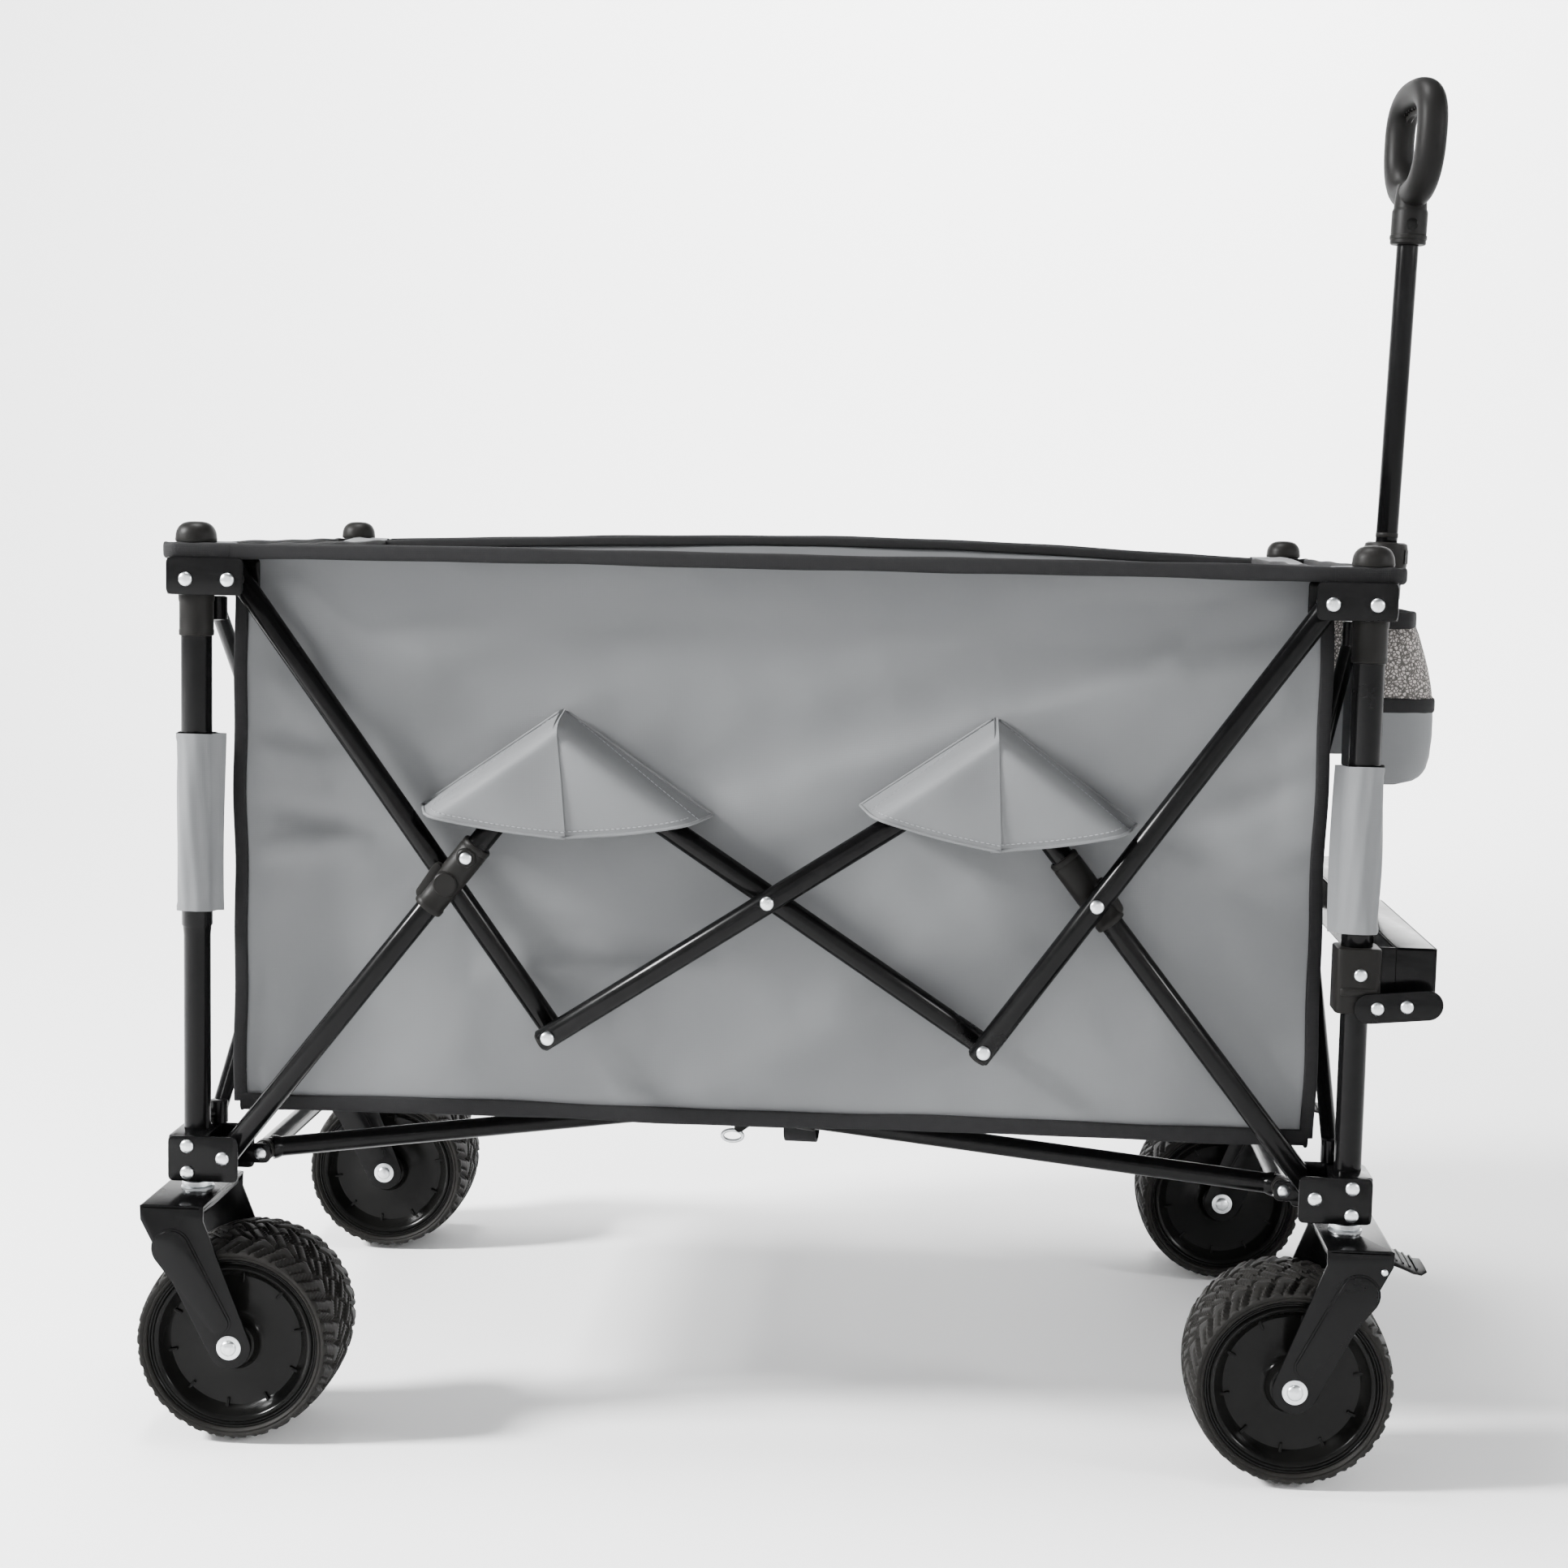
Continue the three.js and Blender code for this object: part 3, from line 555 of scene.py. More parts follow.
    def stitches(self, path, name="thread", pitch=4.2, size=0.42):
        """Row of single stitches along a path."""
        path = [Vector(p) for p in path]
        lengths = [0.0]
        for a, b in zip(path, path[1:]):
            lengths.append(lengths[-1] + (b - a).length)
        spot, i = pitch * 0.3, 0
        while spot + pitch * 0.7 < lengths[-1]:
            ends = []
            for s in (spot, spot + pitch * 0.7):
                while lengths[i + 1] < s:
                    i += 1
                ends.append(
                    path[i].lerp(path[i + 1], (s - lengths[i]) / max(lengths[i + 1] - lengths[i], 1e-6))
                )
            length = (ends[1] - ends[0]).length
            self.turned(
                [(size * 0.3, 0), (size, length * 0.25), (size, length * 0.75), (size * 0.3, length)], name,
                along(*ends), 5
            )
            spot += pitch
        return self

    def make(self, name, smooth=38, spin=None):
        """The piece as one mesh object."""
        data = bpy.data.meshes.new(name)
        points = [Vector(p) * MM for p in self.points]
        if spin is not None:
            points = [spin @ p for p in points]
        data.from_pydata(points, [], self.faces)
        data.polygons.foreach_set("material_index", self.finish_of)
        layer = data.uv_layers.new(name="UVMap")
        corner = np.empty(len(data.loops), dtype=np.int32)
        data.loops.foreach_get("vertex_index", corner)
        layer.data.foreach_set("uv", np.array(self.flat, dtype=np.float32)[corner].ravel())
        for item in self.names:
            data.materials.append(finish(item))
        mesh = bmesh.new()
        mesh.from_mesh(data)
        bmesh.ops.recalc_face_normals(mesh, faces=mesh.faces)
        mesh.to_mesh(data)
        mesh.free()
        data.polygons.foreach_set("use_smooth", [True] * len(data.polygons))
        data.set_sharp_from_angle(angle=math.radians(smooth))
        made = bpy.data.objects.new(name, data)
        bpy.context.scene.collection.objects.link(made)
        return made


def settle(piece, *nodes):
    """The piece rides on its first node's body and stands for the nodes, which it hides."""
    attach(piece, BODY_OF[nodes[0]])
    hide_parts(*nodes)
    return piece


# ---------------------------------------------------------------- frame of steel tube


def corner_posts():
    """Corner posts: a wide tube, crimped onto a narrower one, with a sleeve under the top bracket."""
    step = CROWN + 210
    for end, side, sx, sy in CORNERS:
        low, high = box_mm(f"post_{end}_{side}")
        post = Shape()
        stand = Matrix.Translation((sx * PX, sy * PY, 0))
        thin = POST_R - 1.5
        tube = [(thin - 2, low[2]), (thin, low[2] + 0.6), (thin, step - 7), (thin + 0.5, step - 1.5)]
        tube += [
            (POST_R - 0.8, step), (POST_R, step + 1.2), (POST_R, high[2] - 0.8), (POST_R - 0.8, high[2] - 0.1)
        ]
        post.turned(tube, "steel", stand)
        sleeve = [
            (POST_R, high[2] - 62), (POST_R + 1.4, high[2] - 61.4), (POST_R + 1.6, high[2] - 58),
            (POST_R + 1.2, high[2] - 56.5)
        ]
        sleeve += [
            (POST_R + 1.2, high[2] - 36), (POST_R + 1.8, high[2] - 34), (POST_R + 1.8, high[2] - 30),
            (POST_R, high[2] - 29.6)
        ]
        post.turned(sleeve, "nylon", stand)
        settle(post.make(f"corner_post_{end}_{side}"), f"post_{end}_{side}")


def post_brackets():
    """Pressed steel brackets that join the scissor bars to the corner posts, with domed rivets."""
    for end, side, sx, sy in CORNERS:
        for level, part in (("top", "top_bracket"), ("bottom", "bottom_bracket")):
            name = f"{part}_{end}_{side}"
            z0, z1 = (CROWN + 470, CROWN + 499) if level == "top" else (CROWN + 12, CROWN + 48)
            pivot = joint_mm(f"{side}_{end}_{'high' if level == 'top' else 'low'}_pivot")
            x, out, into = sx * PX, sy * (PY + 29), sy * (PY - 21.8)
            tip = pivot[0] - sx * 12
            shape = Shape()
            # block round the post, then the outer plate with a folded edge, then the inner plate
            shape.block(
                (x + sx * 16, sy * (PY - 18), z0), (x - sx * 13.8, out - sy * 1.2, z1), "steel", 4.5, 1.4
            )
            plate = rounded(rect(*sorted((x + sx * 15.5, tip)), z0, z1), 5)
            shape.plate(plate, *sorted((out, out - sy * 2.5)), "steel", 0.9)
            back = rounded(rect(*sorted((x - sx * 8, tip)), z0, z1), 5)
            shape.plate(back, *sorted((into, into + sy * 2.5)), "steel", 0.9)
            shape.block((x - sx * 8, into, z0), (x - sx * 13.8, sy * (PY - 10), z1), "steel", 1.5, 0.8)
            shape.turned(
                [(3, 0), (3, abs(out - into))], "zinc",
                along((pivot[0], min(out, into), pivot[2]), (pivot[0], max(out, into), pivot[2])), 20
            )
            shape.rivet((pivot[0], out, pivot[2]), (0, sy, 0))
            shape.rivet((pivot[0], into, pivot[2]), (0, -sy, 0), 5)
            heads = [pivot[2]] if level == "top" else [z1 - 8, z0 + 7]
            for z in heads:
                shape.rivet((x, out, z), (0, sy, 0))
            outer_layer = abs(pivot[1]) > PY
            reach = (abs(pivot[1]) - 9.6, PY - 19.5) if outer_layer else (abs(pivot[1]) + 9.6, PY + 27)
            ends = [(pivot[0], sy * v, pivot[2]) for v in sorted(reach)]
            shape.turned(
                [(5, 0), (6.2, 0.6), (6.2, abs(reach[0] - reach[1]) - 0.6), (5, abs(reach[0] - reach[1]))],
                "nylon", along(*ends), 24
            )
            if level == "bottom":
                shape.block(
                    (sx * (PX + 14), sy * (PY - 14), CROWN + 9), (sx * (PX - 14), sy * (PY + 14), CROWN + 13),
                    "steel", 4, 0.8
                )
                ear_x = joint_mm(f"floor_{end}_lift")[0]
                ear = rounded(rect(*sorted((sx * (PX - 20), ear_x - sx * 8)), CROWN + 16, CROWN + 32), 6)
                shape.plate(
                    ear, min(into, into + sy * 2.5) - 0.05, max(into, into + sy * 2.5) - 0.05, "steel", 0.8
                )
                pin = [(ear_x, into + sy, CROWN + 24), (ear_x, into - sy * 12, CROWN + 24)]
                shape.turned([(3.5, 0), (4, 0.8), (4, 12), (3.2, 13)], "zinc", along(*pin), 20)
                shape.rivet((ear_x, into + sy * 2.4, CROWN + 24), (0, sy, 0), 5)
                # gusset under the scissor pivot
                gusset = rounded([(x - sx * 12, z0), (pivot[0] - sx * 2, z0 + 3), (x - sx * 12, z0 + 16)], 2)
                shape.plate(gusset, sy * PY - 1.5, sy * PY + 1.5, "steel", 0.6)
            settle(shape.make(name + "_pressed"), name)


def end_braces():
    """Crossed brace bars between the posts at each end, with flattened ends and a rivet where they cross."""
    for end, sx in (("rear", -1), ("front", 1)):
        x, y = sx * (PX - 10), PY - 24
        top, bottom = CROWN + 458, CROWN + 56
        shape = Shape()
        middle = (top + bottom) / 2
        for s, shift in ((-1, -2.2), (1, 2.2)):
            path = [(x, s * y, top)]
            path += [
                (x + shift * math.sin(math.pi * k / 8), s * y * (1 - k / 4), top + (bottom - top) * k / 8)
                for k in range(1, 8)
            ]
            path.append((x, -s * y, bottom))
            round_bar = round_section(6.4, 20)
            shape.swept(path, round_bar, "steel", up=(1, 0, 0))
            for z in (top, bottom):
                shape.turned(
                    [(5.5, -9), (7.4, -8.2), (7.4, 9.2), (5.5, 10)], "steel",
                    Matrix.Translation((x, s * y, z)), 28
                )
                shape.turned(
                    [(3, 0), (3.6, 1), (3.6, 12), (3, 13)], "steel",
                    along((x, s * y, z), (x + sx * 8, s * (y + 12), z)), 16
                )
        shape.rivet((x + sx * 8.2, 0, middle), (sx, 0, 0))
        shape.rivet((x - sx * 8.2, 0, middle), (-sx, 0, 0), 5)
        settle(shape.make(f"crossed_brace_{end}"), f"end_brace_{end}")


def scissor_bars():
    """Scissor bars of both long sides: round tube with domed plugs, rivets and spacers where bars cross."""
    radius = bpy.context.scene.wagon_sizes.bar_radius / MM
    places = {
        k: joint_mm(f"near_{k}")
        for k in (
            "rear_high_pivot", "rear_low_pivot", "front_high_pivot", "front_low_pivot", "low_knee",
            "high_knee"
        )
    }
    outer, inner = places["rear_low_pivot"][1], places["rear_high_pivot"][1]
    flat = {k: (v[0], v[2]) for k, v in places.items()}
    flat["low_knee_b"], flat["high_knee_b"] = (-flat["low_knee"][0], flat["low_knee"][1]), (
        -flat["high_knee"][0], flat["high_knee"][1]
    )
    middle = (0.0, (flat["low_knee"][1] + flat["high_knee"][1]) / 2)

    def crossing(a, b, c, d):
        a, b, c, d = Vector(a), Vector(b), Vector(c), Vector(d)
        r, s = b - a, d - c
        return a + r * ((c - a).cross(s) / r.cross(s))

    cross_a = crossing(flat["rear_high_pivot"], flat["low_knee"], flat["rear_low_pivot"], flat["high_knee"])
    cross_b = crossing(
        flat["front_high_pivot"], flat["low_knee_b"], flat["front_low_pivot"], flat["high_knee_b"]
    )
    for side, rear, front, turn in (("near", "rear", "front", 0), ("far", "front", "rear", math.pi)):
        spin = Matrix.Rotation(turn, 4, "Z")
        bars = [
            (f"{rear}_high", "rear_high_pivot", "low_knee", inner, [("low_knee", -1), ("low_knee", 1)]),
            (f"{rear}_low", "rear_low_pivot", "high_knee", outer, [("high_knee", -1), ("high_knee", 1)]),
            (f"{rear}_middle_down", "high_knee", "low_knee_b", inner, []),
            (f"{rear}_middle_up", "low_knee", "high_knee_b", outer, [(middle, -1)]),
            (f"{front}_low", "front_low_pivot", "high_knee_b", inner, []),
            (f"{front}_high", "front_high_pivot", "low_knee_b", outer, [("low_knee_b", -1), (cross_b, -1)]),
        ]
        for name, a, b, y, heads in bars:
            a, b = Vector(flat[a]), Vector(flat[b])
            way = (b - a).normalized()
            a, b = a - way * 10, b + way * 10
            length = (b - a).length
            bar = Shape()
            r = radius
            plug = [(0.4, 0), (4.5, 0.25), (7, 1.0), (r - 1.2, 2.2), (r - 1.1, 3)]
            tube = [
                (r - 1.2, 2.6), (r - 0.5, 2.6), (r, 3.3), (r, length - 3.3), (r - 0.5, length - 2.6),
                (r - 1.2, length - 2.6)
            ]
            place = along((a.x, y, a.y), (b.x, y, b.y))
            bar.turned(tube, "steel", place, 36)
            bar.turned(plug, "nylon", place, 36)
            bar.turned([(q, length - h) for q, h in reversed(plug)], "nylon", place, 36)
            for spot, out in heads:
                spot = flat[spot] if isinstance(spot, str) else spot
                face = outer - r + 0.25 if out < 0 else inner + r - 0.25
                bar.rivet((spot[0], face, spot[1]), (0, out, 0))
                if isinstance(spot, tuple) and len(heads) == 2 and out < 0 and spot in (
                    flat["low_knee"], flat["high_knee"]
                ):
                    gap = along((spot[0], outer + r + 0.2, spot[1]), (spot[0], inner - r - 0.2, spot[1]))
                    bar.turned(
                        [(7.5, 0), (8, 0.4), (8, 3.9), (7.5, inner - outer - 2 * r - 0.4)], "nylon", gap, 28
                    )
            piece = f"bar_{side}_{name}"
            settle(bar.make(piece + "_tube", spin=spin), piece)
        for end, low, knee, at, y in (
            (rear, "rear_low_pivot", "high_knee", cross_a, outer),
            (front, "front_low_pivot", "high_knee_b", cross_b, inner)
        ):
            way = (Vector(flat[knee]) - Vector(flat[low])).normalized()
            start = at - way * 22
            stop = at + way * 42
            out = -1 if y == outer else 1
            side_way = Vector((-way.y, way.x)) * (1 if y == outer else -1)
            collar = Shape()
            wall = [
                (9.5, 0), (11.6, 0.4), (12.1, 1.4), (12.1, 5), (11.3, 6.2), (11.3, 24), (11.9, 25),
                (11.9, 57.5), (11.4, 59), (11.9, 60), (11.9, 63), (11.2, 64), (9.5, 64)
            ]
            collar.ring(wall, "nylon", along((start.x, y, start.y), (stop.x, y, stop.y)), 40)
            boss, spot = at + way * 4, at + way * 30
            for centre, r, up in ((boss, 9.2, 5.4), (spot, 7.4, 4.2)):
                place = along((centre.x, y + out * 8, centre.y), (centre.x, y + out * 20, centre.y))
                collar.turned(
                    [(r + 1.2, 0), (r + 0.5, 2.4), (r, 3.4), (r, up), (r - 0.9, up + 0.7)], "nylon", place, 32
                )
            collar.rivet((spot.x, y + out * 12.4, spot.y), (0, out, 0), 4.8)
            # spring latch that a thumb presses to free the fold
            tab0, tab1 = at - way * 14 + side_way * 10, at + way * 8 + side_way * 13
            collar.plate(strap_outline(tab0, tab1, 5.2, 4), y - 5.5, y + 5.5, "nylon", 1.4)
            hook = at - way * 20 + side_way * 5
            collar.plate(strap_outline(hook, tab0, 4, 5), y - 3.5, y + 3.5, "nylon", 1.2)
            settle(collar.make(f"collar_{side}_{end}_moulded", spin=spin), f"collar_{side}_{end}")


def floor_frames():
    """Frames under the basket: bent tube from a cross tube at each end, meeting at a hub with an eye."""
    y = PY - 24
    circle = round_section(8, 28)
    for end, sx, lane in (("rear", -1, 50), ("front", 1, 112)):
        x, z, low = joint_mm(f"floor_{end}_lift")[0], CROWN + 24, CROWN + 38
        shape = Shape()
        shape.swept([(x, -y, z), (x, 0, z), (x, y, z)], circle, "steel")
        for s in (-1, 1):
            shape.turned(
                [(6.5, 0), (8.1, 0.7), (8.1, 4), (8.6, 4.4), (8.6, 12), (8, 13)], "nylon",
                along((x, s * (y - 0.2), z), (x, s * (y - 20), z)), 30
            )
            corner = y - 15
            a, b = Vector((x, s * corner, z)), Vector((-sx * 4, s * lane, low))
            tip = [a.lerp(b, t) for t in (0, 0.5, 1)]
            shape.swept(tip, circle, "steel")
            weld = [(9.8, 0), (9.4, 3), (8.6, 5.5), (8, 7)]
            shape.turned(weld, "steel", along(a + (b - a).normalized() * 5, b), 28)
            shape.turned([(8, 0), (7, 1.4), (0.5, 2.6)], "nylon", along(b, b + (b - a)), 28)
            if end == "front":
                shape.turned(
                    [(8, 0), (9.6, 0.6), (9.6, 15.4), (8, 16)], "nylon",
                    along(b + (a - b).normalized() * 22, a), 28
                )
        if end == "rear":
            shape.swept([(0, -lane, low), (0, 0, low), (0, lane, low)], circle, "steel")
            for s in (-1, 1):
                shape.turned(
                    [(8, 0), (8.8, 0.5), (8.8, 11.5), (8, 12)], "steel",
                    along((0, s * (lane - 16), low), (0, s * 10, low)), 28
                )
            # zinc eye that the lifting strap is sewn round
            eye = [
                Vector((-46 + 9 * math.cos(t), -20, low - 42 + 5 * math.sin(t)))
                for t in np.linspace(0, TAU, 24, endpoint=False)
            ]
            shape.swept(eye, round_section(1.7, 12), "zinc", closed=True, up=(0, 1, 0))
            shape.plate(strap_outline((-40, low - 34), (-2, low), 4.5, 9), -23, -20.5, "steel", 0.8)
        settle(shape.make(f"floor_frame_{end}_tubes"), f"floor_frame_{end}")


def lifting_strap():
    """Webbing loop that hangs under the middle of the floor and is pulled up to fold the wagon."""
    low = CROWN + 38
    path = [
        Vector((14 + 0.8 * math.sin(v / 13), v, low - 12 - 36 * math.cos(v / 39 * math.pi / 2) ** 0.6))
        for v in np.linspace(-38, 38, 41)
    ]
    web = [
        (-14, -0.9), (-13.3, -1.2), (13.3, -1.2), (14, -0.9), (14, 0.9), (13.3, 1.2), (-13.3, 1.2), (-14, 0.9)
    ]
    loop = Shape().swept(path, web, "binding", up=(0, 0.01, 1))
    for s in (-1, 1):
        loop.block((0.5, s * 46, low - 14), (27.5, s * 34, low - 10.5), "binding", 2, 0.8)
    made = loop.make("lifting_strap", 60)
    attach(made, "floor_front")
    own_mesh(made)


def knobs():
    """Mushroom caps on the corner posts: moulded nylon with a soft dome and an undercut lip."""
    for end, side, sx, sy in CORNERS:
        low, high = box_mm(f"knob_{end}_{side}")
        r, base, top = (high[0] - low[0]) / 2, BASKET_HIGH[2] + 0.4, high[2]
        cap = [
            (5, low[2]), (5, base - 0.6), (8, base), (r - 2, base + 0.2), (r - 0.4, base + 1),
            (r, base + 2.6), (r - 0.25, base + 4.4)
        ]
        cap += [
            (r * math.cos(t) ** 0.62 - 0.3, base + 4.4 + (top - base - 4.4) * math.sin(t))
            for t in np.linspace(0.18, 1.52, 11)
        ]
        shape = Shape().turned(cap, "nylon", Matrix.Translation((sx * PX, sy * PY, 0)), 48)
        settle(shape.make(f"knob_{end}_{side}_cap"), f"knob_{end}_{side}")


# ---------------------------------------------------------------- wheels


LUGS = 26  # tread blocks round a tyre


def tread_depth(turn, across):
    """How deep the tread is cut, 0 to 1, at a share of the turn and at mm across from the middle."""
    zig = abs((turn * LUGS) % 1 - 0.5) * 4 - 1
    side = abs(across)
    cuts = [abs(across - 6.5 * zig) - 1.5]
    for middle, swing in ((21, 4.2), (-21, -4.2)):
        cuts.append(abs(across - middle - swing * zig) - 1.4)
    lean = turn * LUGS + side * 0.022 * (1 if across > 0 else -1)
    shoulder = abs((lean + 0.25) % 1 - 0.5) * (TAU * WHEEL_R / LUGS)
    if side > 24:
        cuts.append(shoulder - 1.7)
        cuts.append(abs((lean * 2 + 0.25) % 1 - 0.5) * (TAU * WHEEL_R / LUGS / 2) - 0.55 if side > 34 else 9)
    elif side < 20:
        cuts.append(abs((turn * LUGS - across * 0.03) % 1 - 0.5) * (TAU * WHEEL_R / LUGS) - 1.1)
        cuts.append(abs((turn * LUGS + 0.5 - across * 0.03) % 1 - 0.5) * (TAU * WHEEL_R / LUGS) - 0.6)
    return min(1.0, max(0.0, 0.55 - min(cuts) / 1.3))


def tyres():
    """Wide tyres with a crowned zigzag tread that wraps over lugged shoulders."""
    deep = bpy.context.scene.wagon_sizes.tread_depth / MM
    w = WHEEL_HALF
    skin = [
        (67.2, w - 3.2), (68, w - 1.4), (69.2, w - 0.6), (70.4, w - 1.2), (71.6, w - 0.2), (73, w - 0.1),
        (74, w - 0.6), (74.8, w - 1.5), (75.4, w - 2.7)
    ]
    crown = [
        (75.4 + (WHEEL_R - 75.4) * (1 - (abs(v) / (w - 4)) ** 2.6), v) for v in np.linspace(w - 4, 4 - w, 60)
    ]
    skin += crown + [(r, -v) for r, v in reversed(skin)]
    across = 260
    for end, side, sx, sy in CORNERS:
        rows = []
        phase = {
            "rear_near": 0.0, "rear_far": 0.35, "front_near": 0.6, "front_far": 0.15
        }[f"{end}_{side}"] / LUGS
        for k in range(across):
            row = []
            t = TAU * k / across
            for r, v in skin:
                cut = tread_depth(k / across + phase, v) * deep if r > 75.2 else 0
                if 73.5 < r <= 75.2:
                    cut = tread_depth(k / across + phase, math.copysign(w - 3, v)) * deep * 0.55
                row.append(((r - cut) * math.cos(t), v, (r - cut) * math.sin(t)))
            rows.append(row)
        inside = [(67.2, 4 - w + 0.8), (67.2, w - 4.8)]
        for k, row in enumerate(rows):
            t = TAU * k / across
            row += [(r * math.cos(t), v, r * math.sin(t)) for r, v in inside]
        shape = Shape().grid(
            rows, "rubber", close_u=True, close_v=True,
            place=Matrix.Translation((sx * AXLE_X, sy * PY, WHEEL_R))
        )
        settle(shape.make(f"tyre_{end}_{side}_treaded", 50), f"tyre_{end}_{side}")


def wheel_discs():
    """Moulded wheels: a rolled rim, a dished disc with ten short ribs at its edge, and a stepped hub."""
    w = WHEEL_HALF
    half = [
        (5.4, w - 2), (9, w - 1.2), (13, w - 1.6), (16, w - 1.2), (17.6, w - 2.4), (18.6, w - 8),
        (20.5, w - 12), (25, w - 14.4), (44, w - 15.2), (52, w - 14.4)
    ]
    half += [
        (56.6, w - 10), (58.2, w - 5), (59.6, w - 3.2), (61.4, w - 2.4), (62.8, w - 3.2), (63.6, w - 4.6),
        (64.6, w - 4.4), (65.6, w - 3.2), (66.7, w - 3.4)
    ]
    for end, side, sx, sy in CORNERS:
        place = Matrix.Translation((sx * AXLE_X, sy * PY, WHEEL_R)) @ Matrix.Rotation(math.pi / 2, 4, "X")
        shape = Shape().ring(half + [(r, -v) for r, v in reversed(half)], "wheel", place, 96)
        for k in range(10):
            turn = place @ Matrix.Rotation(TAU * (k + 0.3) / 10, 4, "Z")
            for s in (-1, 1):
                stub = rounded(rect(47, 57, -1.3, 1.3), 1.1)
                low, high = sorted((s * (w - 15.8), s * (w - 12.2)))
                shape.plate(stub, low, high, "wheel", 1.0, turn)
        settle(shape.make(f"wheel_{end}_{side}_moulded"), f"wheel_{end}_{side}")


def forks():
    """Pressed forks with an embossed panel on each leg, a folded crown, a stem bearing and axle bolts."""
    inner, thick, half = WHEEL_HALF + 3.5, 3.0, 25.0
    for end, side, sx, sy in CORNERS:
        axle, stem, y = sx * AXLE_X, sx * PX, sy * PY
        crown = stem + sx * 4
        shape = Shape()
        way = math.atan2(WHEEL_R - (CROWN - 14), axle - crown)
        low_end = [
            (axle + 17 * math.cos(t), WHEEL_R + 17 * math.sin(t))
            for t in [way - math.pi / 2 + math.pi * k / 12 for k in range(13)]
        ]
        leg = [
            (crown - half, CROWN - 0.5), (crown - half + 0.3, CROWN - 12)
        ] + low_end + [(crown + half - 0.3, CROWN - 12), (crown + half, CROWN - 0.5)]
        panel_top, panel_low = Vector((crown, CROWN - 34)), Vector((axle, WHEEL_R)) + (
            Vector((crown, CROWN)) - Vector((axle, WHEEL_R))
        ).normalized() * 21
        for s in (-1, 1):
            face = sorted((y + s * inner, y + s * (inner + thick)))
            shape.plate(leg, *face, "steel", 0.9)
            for grow, rise in ((0, 0.9), (-1.6, 1.9)):
                panel = strap_outline(panel_low, panel_top, 9.5 + grow, 16 + grow, 12)
                edge = sorted((y + s * (inner + thick - 0.4), y + s * (inner + thick + rise)))
                shape.plate(panel, *edge, "steel", 0.9)
            out = y + s * (inner + thick)
            place = along((axle, out - s, WHEEL_R), (axle, out + s * 8, WHEEL_R))
            shape.turned([(9.5, 0), (9.5, 1.9), (8.8, 2.2)], "zinc", place, 32)
            shape.rivet((axle, out + s * 1.1, WHEEL_R), (0, s, 0), 6.2)
        roof = rounded(rect(crown - half, crown + half, y - inner - thick, y + inner + thick), 3)
        shape.plate(roof, CROWN - 4, CROWN, "steel", 1.6, Matrix.Identity(4))
        for s in (-1, 1):
            rib = rounded(rect(crown + s * 21 - 2, crown + s * 21 + 2, y - inner + 1, y + inner - 1), 1.5)
            shape.plate(rib, CROWN - 9, CROWN - 3, "steel", 1, Matrix.Identity(4))
        shape.turned(
            [(5, -WHEEL_HALF - 3), (5, WHEEL_HALF + 3)], "zinc",
            Matrix.Translation((axle, y, WHEEL_R)) @ Matrix.Rotation(math.pi / 2, 4, "X"), 24
        )
        bearing = [
            (13, CROWN - 2), (13, CROWN + 1.6), (12.2, CROWN + 2.2), (10.4, CROWN + 2.4), (10.4, CROWN + 3.2),
            (12.4, CROWN + 3.6), (12.4, CROWN + 6.6), (11, CROWN + 7.4), (6, CROWN + 7.5), (6, CROWN + 17)
        ]
        shape.turned(bearing, "zinc", Matrix.Translation((stem, y, 0)), 36)
        settle(shape.make(f"fork_{end}_{side}_pressed"), f"fork_{end}_{side}")


def brake_pedals():
    """Foot brakes of the front wheels: a ribbed moulded spoon on a shaft between the fork legs."""
    for end, side, sx, _ in CORNERS[2:]:
        x, y, z = joint_mm(f"brake_{end}_{side}")
        shape = Shape()
        reach = WHEEL_HALF + 7.5
        shape.turned(
            [(1.8, 0), (2.5, 0.7), (2.5, 2 * reach - 0.7), (1.8, 2 * reach)], "zinc",
            along((x, y - reach, z), (x, y + reach, z)), 20
        )
        shape.turned(
            [(5.4, 0), (6, 0.8), (6, 59.2), (5.4, 60)], "nylon", along((x, y - 30, z), (x, y + 30, z)), 28
        )
        spoon = [
            (x + sx * d, y, z + h) for d,
            h in ((-2, 0.5), (5, -0.4), (12, -2.4), (20, -5.4), (28, -9), (34, -10.6), (38.6, -9.4))
        ]

        def section(share):
            wide = 26 - 6 * abs(2 * share - 0.9) ** 3
            thick = 3.6 - 1.4 * share
            return [
                (wide * c, thick * s * (1 - 0.25 * c * c)) for c,
                s in [
                    (math.copysign(abs(math.cos(t)) ** 0.5, math.cos(t)), math.sin(t))
                    for t in np.linspace(0, TAU, 28, endpoint=False)
                ]
            ]

        shape.swept(spoon, section, "nylon")
        for k in range(5):
            d = 10 + 5.2 * k
            drop = np.interp(d, [p[0] * sx - x * sx for p in spoon], [p[2] - z for p in spoon])
            shape.swept(
                [
                    (x + sx * d, y - 19, z + drop + 2.4), (x + sx * d, y, z + drop + 3.1),
                    (x + sx * d, y + 19, z + drop + 2.4)
                ],
                [(-0.8, -1.2), (0.8, -1.2), (0.6, 0.9), (-0.6, 0.9)], "nylon"
            )
        settle(shape.make(f"brake_pedal_{end}_{side}_moulded"), f"brake_pedal_{end}_{side}")


# ---------------------------------------------------------------- pull handle


